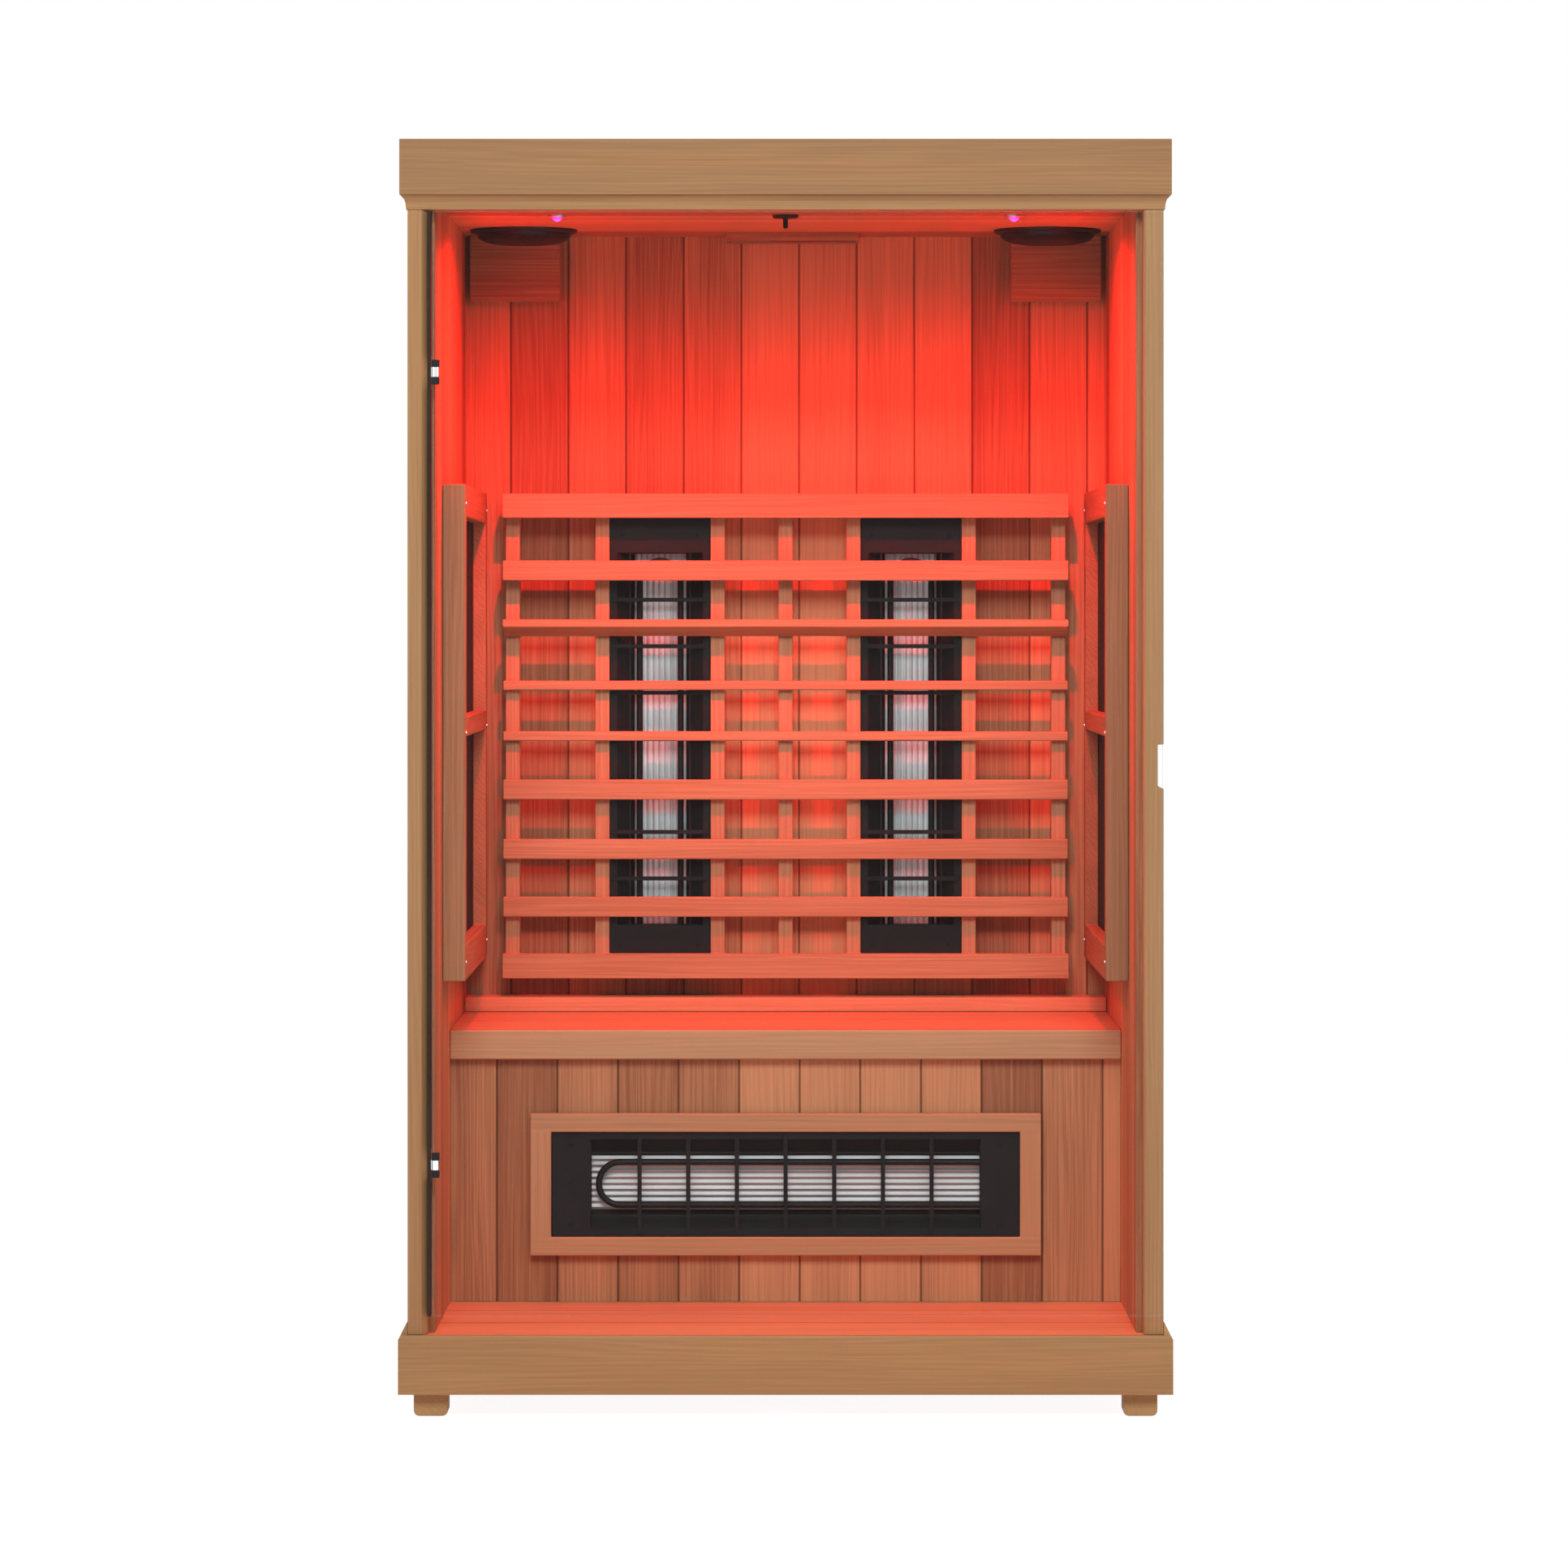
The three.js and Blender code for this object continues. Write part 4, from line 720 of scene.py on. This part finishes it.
SPOT_BODY = 0.011
SPOT_LENS = 0.0098
LENS_DROP = 0.0108
LENS_SEAT = 0.001
LENS_FIT = 0.98
LENS_STEPS = 8
LENS_MIDDLE = (0.9, 0.3, 0.55, 1)
LENS_RIM = (0.5, 0.02, 0.1, 1)
GLOW_MIDDLE = (0.9, 0.10, 0.75, 1)
GLOW_RIM = (0.75, 0.03, 0.42, 1)
bezel_steel = steel("spot_bezel_steel", (0.7, 0.7, 0.71), 0.3, "z", 300.0)
for side in ("left", "right"):
    low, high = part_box(f"{side}_led_spot")
    centre = (low + high) / 2
    centre.z = ceiling
    reach = (high.x - low.x) / 2
    glow, tree, shader = principled(f"{side}_spot_glow", Roughness=0.3, Emission_Strength=1.6)
    axes = object_axes(tree)
    across = axes["x"] - centre.x
    deep = axes["y"] - centre.y
    out = across.math("SQRT", across * across + deep * deep)
    rim_light = out.step(0.001, SPOT_LENS)
    lens_colour = rim_light.blend(LENS_MIDDLE, LENS_RIM)
    lens_light = rim_light.blend(GLOW_MIDDLE, GLOW_RIM)
    tree.links.new(lens_colour.socket, shader.inputs["Base Color"])
    tree.links.new(lens_light.socket, shader.inputs["Emission Color"])
    collar = [(SPOT_LENS, 0.002), (SPOT_LENS, -0.0034), (SPOT_LENS + 0.0008, -0.004)]
    rim = [(reach - 0.001, -0.0038), (reach, -0.0026), (reach, -FIT)]
    behind = [(SPOT_BODY, -FIT), (SPOT_BODY, roof_top - ceiling), (0, roof_top - ceiling)]
    profile = collar + rim + behind
    turned_piece(f"{side}_spot_bezel", profile, centre, bezel_steel, f"{side}_led_spot")
    angles = [math.pi / 2 * i / LENS_STEPS for i in range(LENS_STEPS + 1)]
    depth = LENS_DROP + LENS_SEAT
    lens_reach = SPOT_LENS * LENS_FIT
    bulge = [(lens_reach * math.sin(angle), LENS_SEAT - depth * math.cos(angle)) for angle in angles]
    turned_piece(f"{side}_spot_lens", [*bulge, (0, LENS_SEAT)], centre, glow)

# Temperature probe: a black sensor stem under a flat flange, clipped into the roof panel near the door.
# It is moulded in one piece, with a rounded tip.
low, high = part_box("temperature_probe")
centre = (low + high) / 2
centre.z = ceiling
probe_black = black_coat("probe_black", (0.012, 0.012, 0.012), 0.45, 2200.0)
PROBE_NECK = 0.007
tip = low.z - ceiling
flange = (high.x - low.x) / 2
probe = [(0, tip), (0.0025, tip + 0.0004), (0.004, tip + 0.002), (0.004, -0.0062), (0.0055, -0.005),
         (flange - 0.002, -0.005), (flange - 0.0005, -0.004), (flange, -0.0025), (flange, -FIT),
         (PROBE_NECK, -FIT), (PROBE_NECK, roof_top - ceiling), (0, roof_top - ceiling)]
turned_piece("temperature_probe_stem", probe, centre, probe_black, "temperature_probe")

# Roof vent: a thin cedar cover that slides along the ceiling in two lipped runners, which are screwed
# up into the roof panel. The wiring covers are plain cedar boxes in the back corners.
vent_cedar = cedar("vent_cedar", INSIDE_DARK, INSIDE_LIGHT, "x", "y")
cover_cedar = cedar("wiring_cover_cedar", INSIDE_DARK, INSIDE_LIGHT, "x", "z")
dress("vent_frame", vent_cedar, CRISP)
dress("vent_cover", vent_cedar, LIGHT, "vent_cover")
for side in ("left", "right"):
    dress(f"{side}_wiring_cover", cover_cedar, EASED)

# Door: one leaf of toughened clear glass with polished edges, which show faintly green, hung on two
# hinges. A black seal on the left post closes the gap behind its edge.
glass, tree, shader = principled("door_glass")
low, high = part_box("door_glass")
axes = object_axes(tree)
middle = (low + high) / 2
beside = abs(axes["x"] - middle.x) - (high.x - low.x) / 2
over = abs(axes["z"] - middle.z) - (high.z - low.z) / 2
edge = beside.math("MAXIMUM", beside, over).step(-0.0016, -0.0002)
CLEAR_TINT = (0.97, 0.985, 0.98, 1)
EDGE_GREEN = (0.30, 0.52, 0.45, 1)
tint = edge.blend(CLEAR_TINT, EDGE_GREEN)
tree.links.new(tint.socket, shader.inputs["Base Color"])
smudge = noise(axes, (5.0, 5.0, 5.0), 2.0, 0.5)
tree.links.new((smudge * 0.05 + 0.01).socket, shader.inputs["Roughness"])
facing = smudge.node("LayerWeight", {"Blend": 0.25}, output="Facing")
solid = facing * facing * facing * 0.3 + edge * 0.1 + 0.004
clear = smudge.node("BsdfTransparent", {"Color": (0.995, 1.0, 0.998, 1)})
surface = smudge.node("MixShader", [solid, clear, Shade(tree, shader.outputs["BSDF"])])
tree.links.new(surface.socket, tree.nodes["Material Output"].inputs["Surface"])
dress("door_glass", glass, CRISP, "door")

seal_rubber = black_coat("seal_rubber", (0.022, 0.018, 0.015), 0.62, 700.0)
hinge_black = black_coat("hinge_black", (0.012, 0.012, 0.012), 0.4, 2000.0)
hinge_chrome = steel("hinge_chrome", (0.9, 0.9, 0.9), 0.1, "z", 60.0)
dress("door_seal", seal_rubber, CUT)
PLATE = 0.002
PLATE_SCREW_BACK = 0.013
PLATE_SCREW_RISE = 0.017
for place in ("upper", "lower"):
    dress(f"{place}_hinge_shoe", hinge_black, FINE, "door")
    dress(f"{place}_hinge_bracket", hinge_chrome, FINE)
    low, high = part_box(f"{place}_hinge_bracket")
    plate = low.x + PLATE
    middle = (low.z + high.z) / 2
    rises = [(plate, high.y - PLATE_SCREW_BACK, middle + side * PLATE_SCREW_RISE) for side in (-1, 1)]
    screws(f"{place}_hinge_screws", rises, (1, 0, 0), screw_steel, 0.0028)

# Red light: each ceiling spot throws a wide cone of red down over the seat, whose edge curves across
# the side walls. The wood itself keeps its own colour.
CONE = 176
CONE_BLEND = 0.85
LAMP_RADIUS = 0.012
RED_WATTS = 43
RED = (1.0, 0.006, 0.004)
LAMP_DROP = 0.014
for side in ("left", "right"):
    low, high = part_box(f"{side}_led_spot")
    data = bpy.data.lights.new(f"{side}_red_lamp", "SPOT")
    data.color = RED
    data.energy = RED_WATTS
    data.spot_size = math.radians(CONE)
    data.spot_blend = CONE_BLEND
    data.shadow_soft_size = LAMP_RADIUS
    lamp = bpy.data.objects.new(f"{side}_red_lamp", data)
    lamp.location = ((low.x + high.x) / 2, (low.y + high.y) / 2, low.z - LAMP_DROP)
    bpy.context.scene.collection.objects.link(lamp)
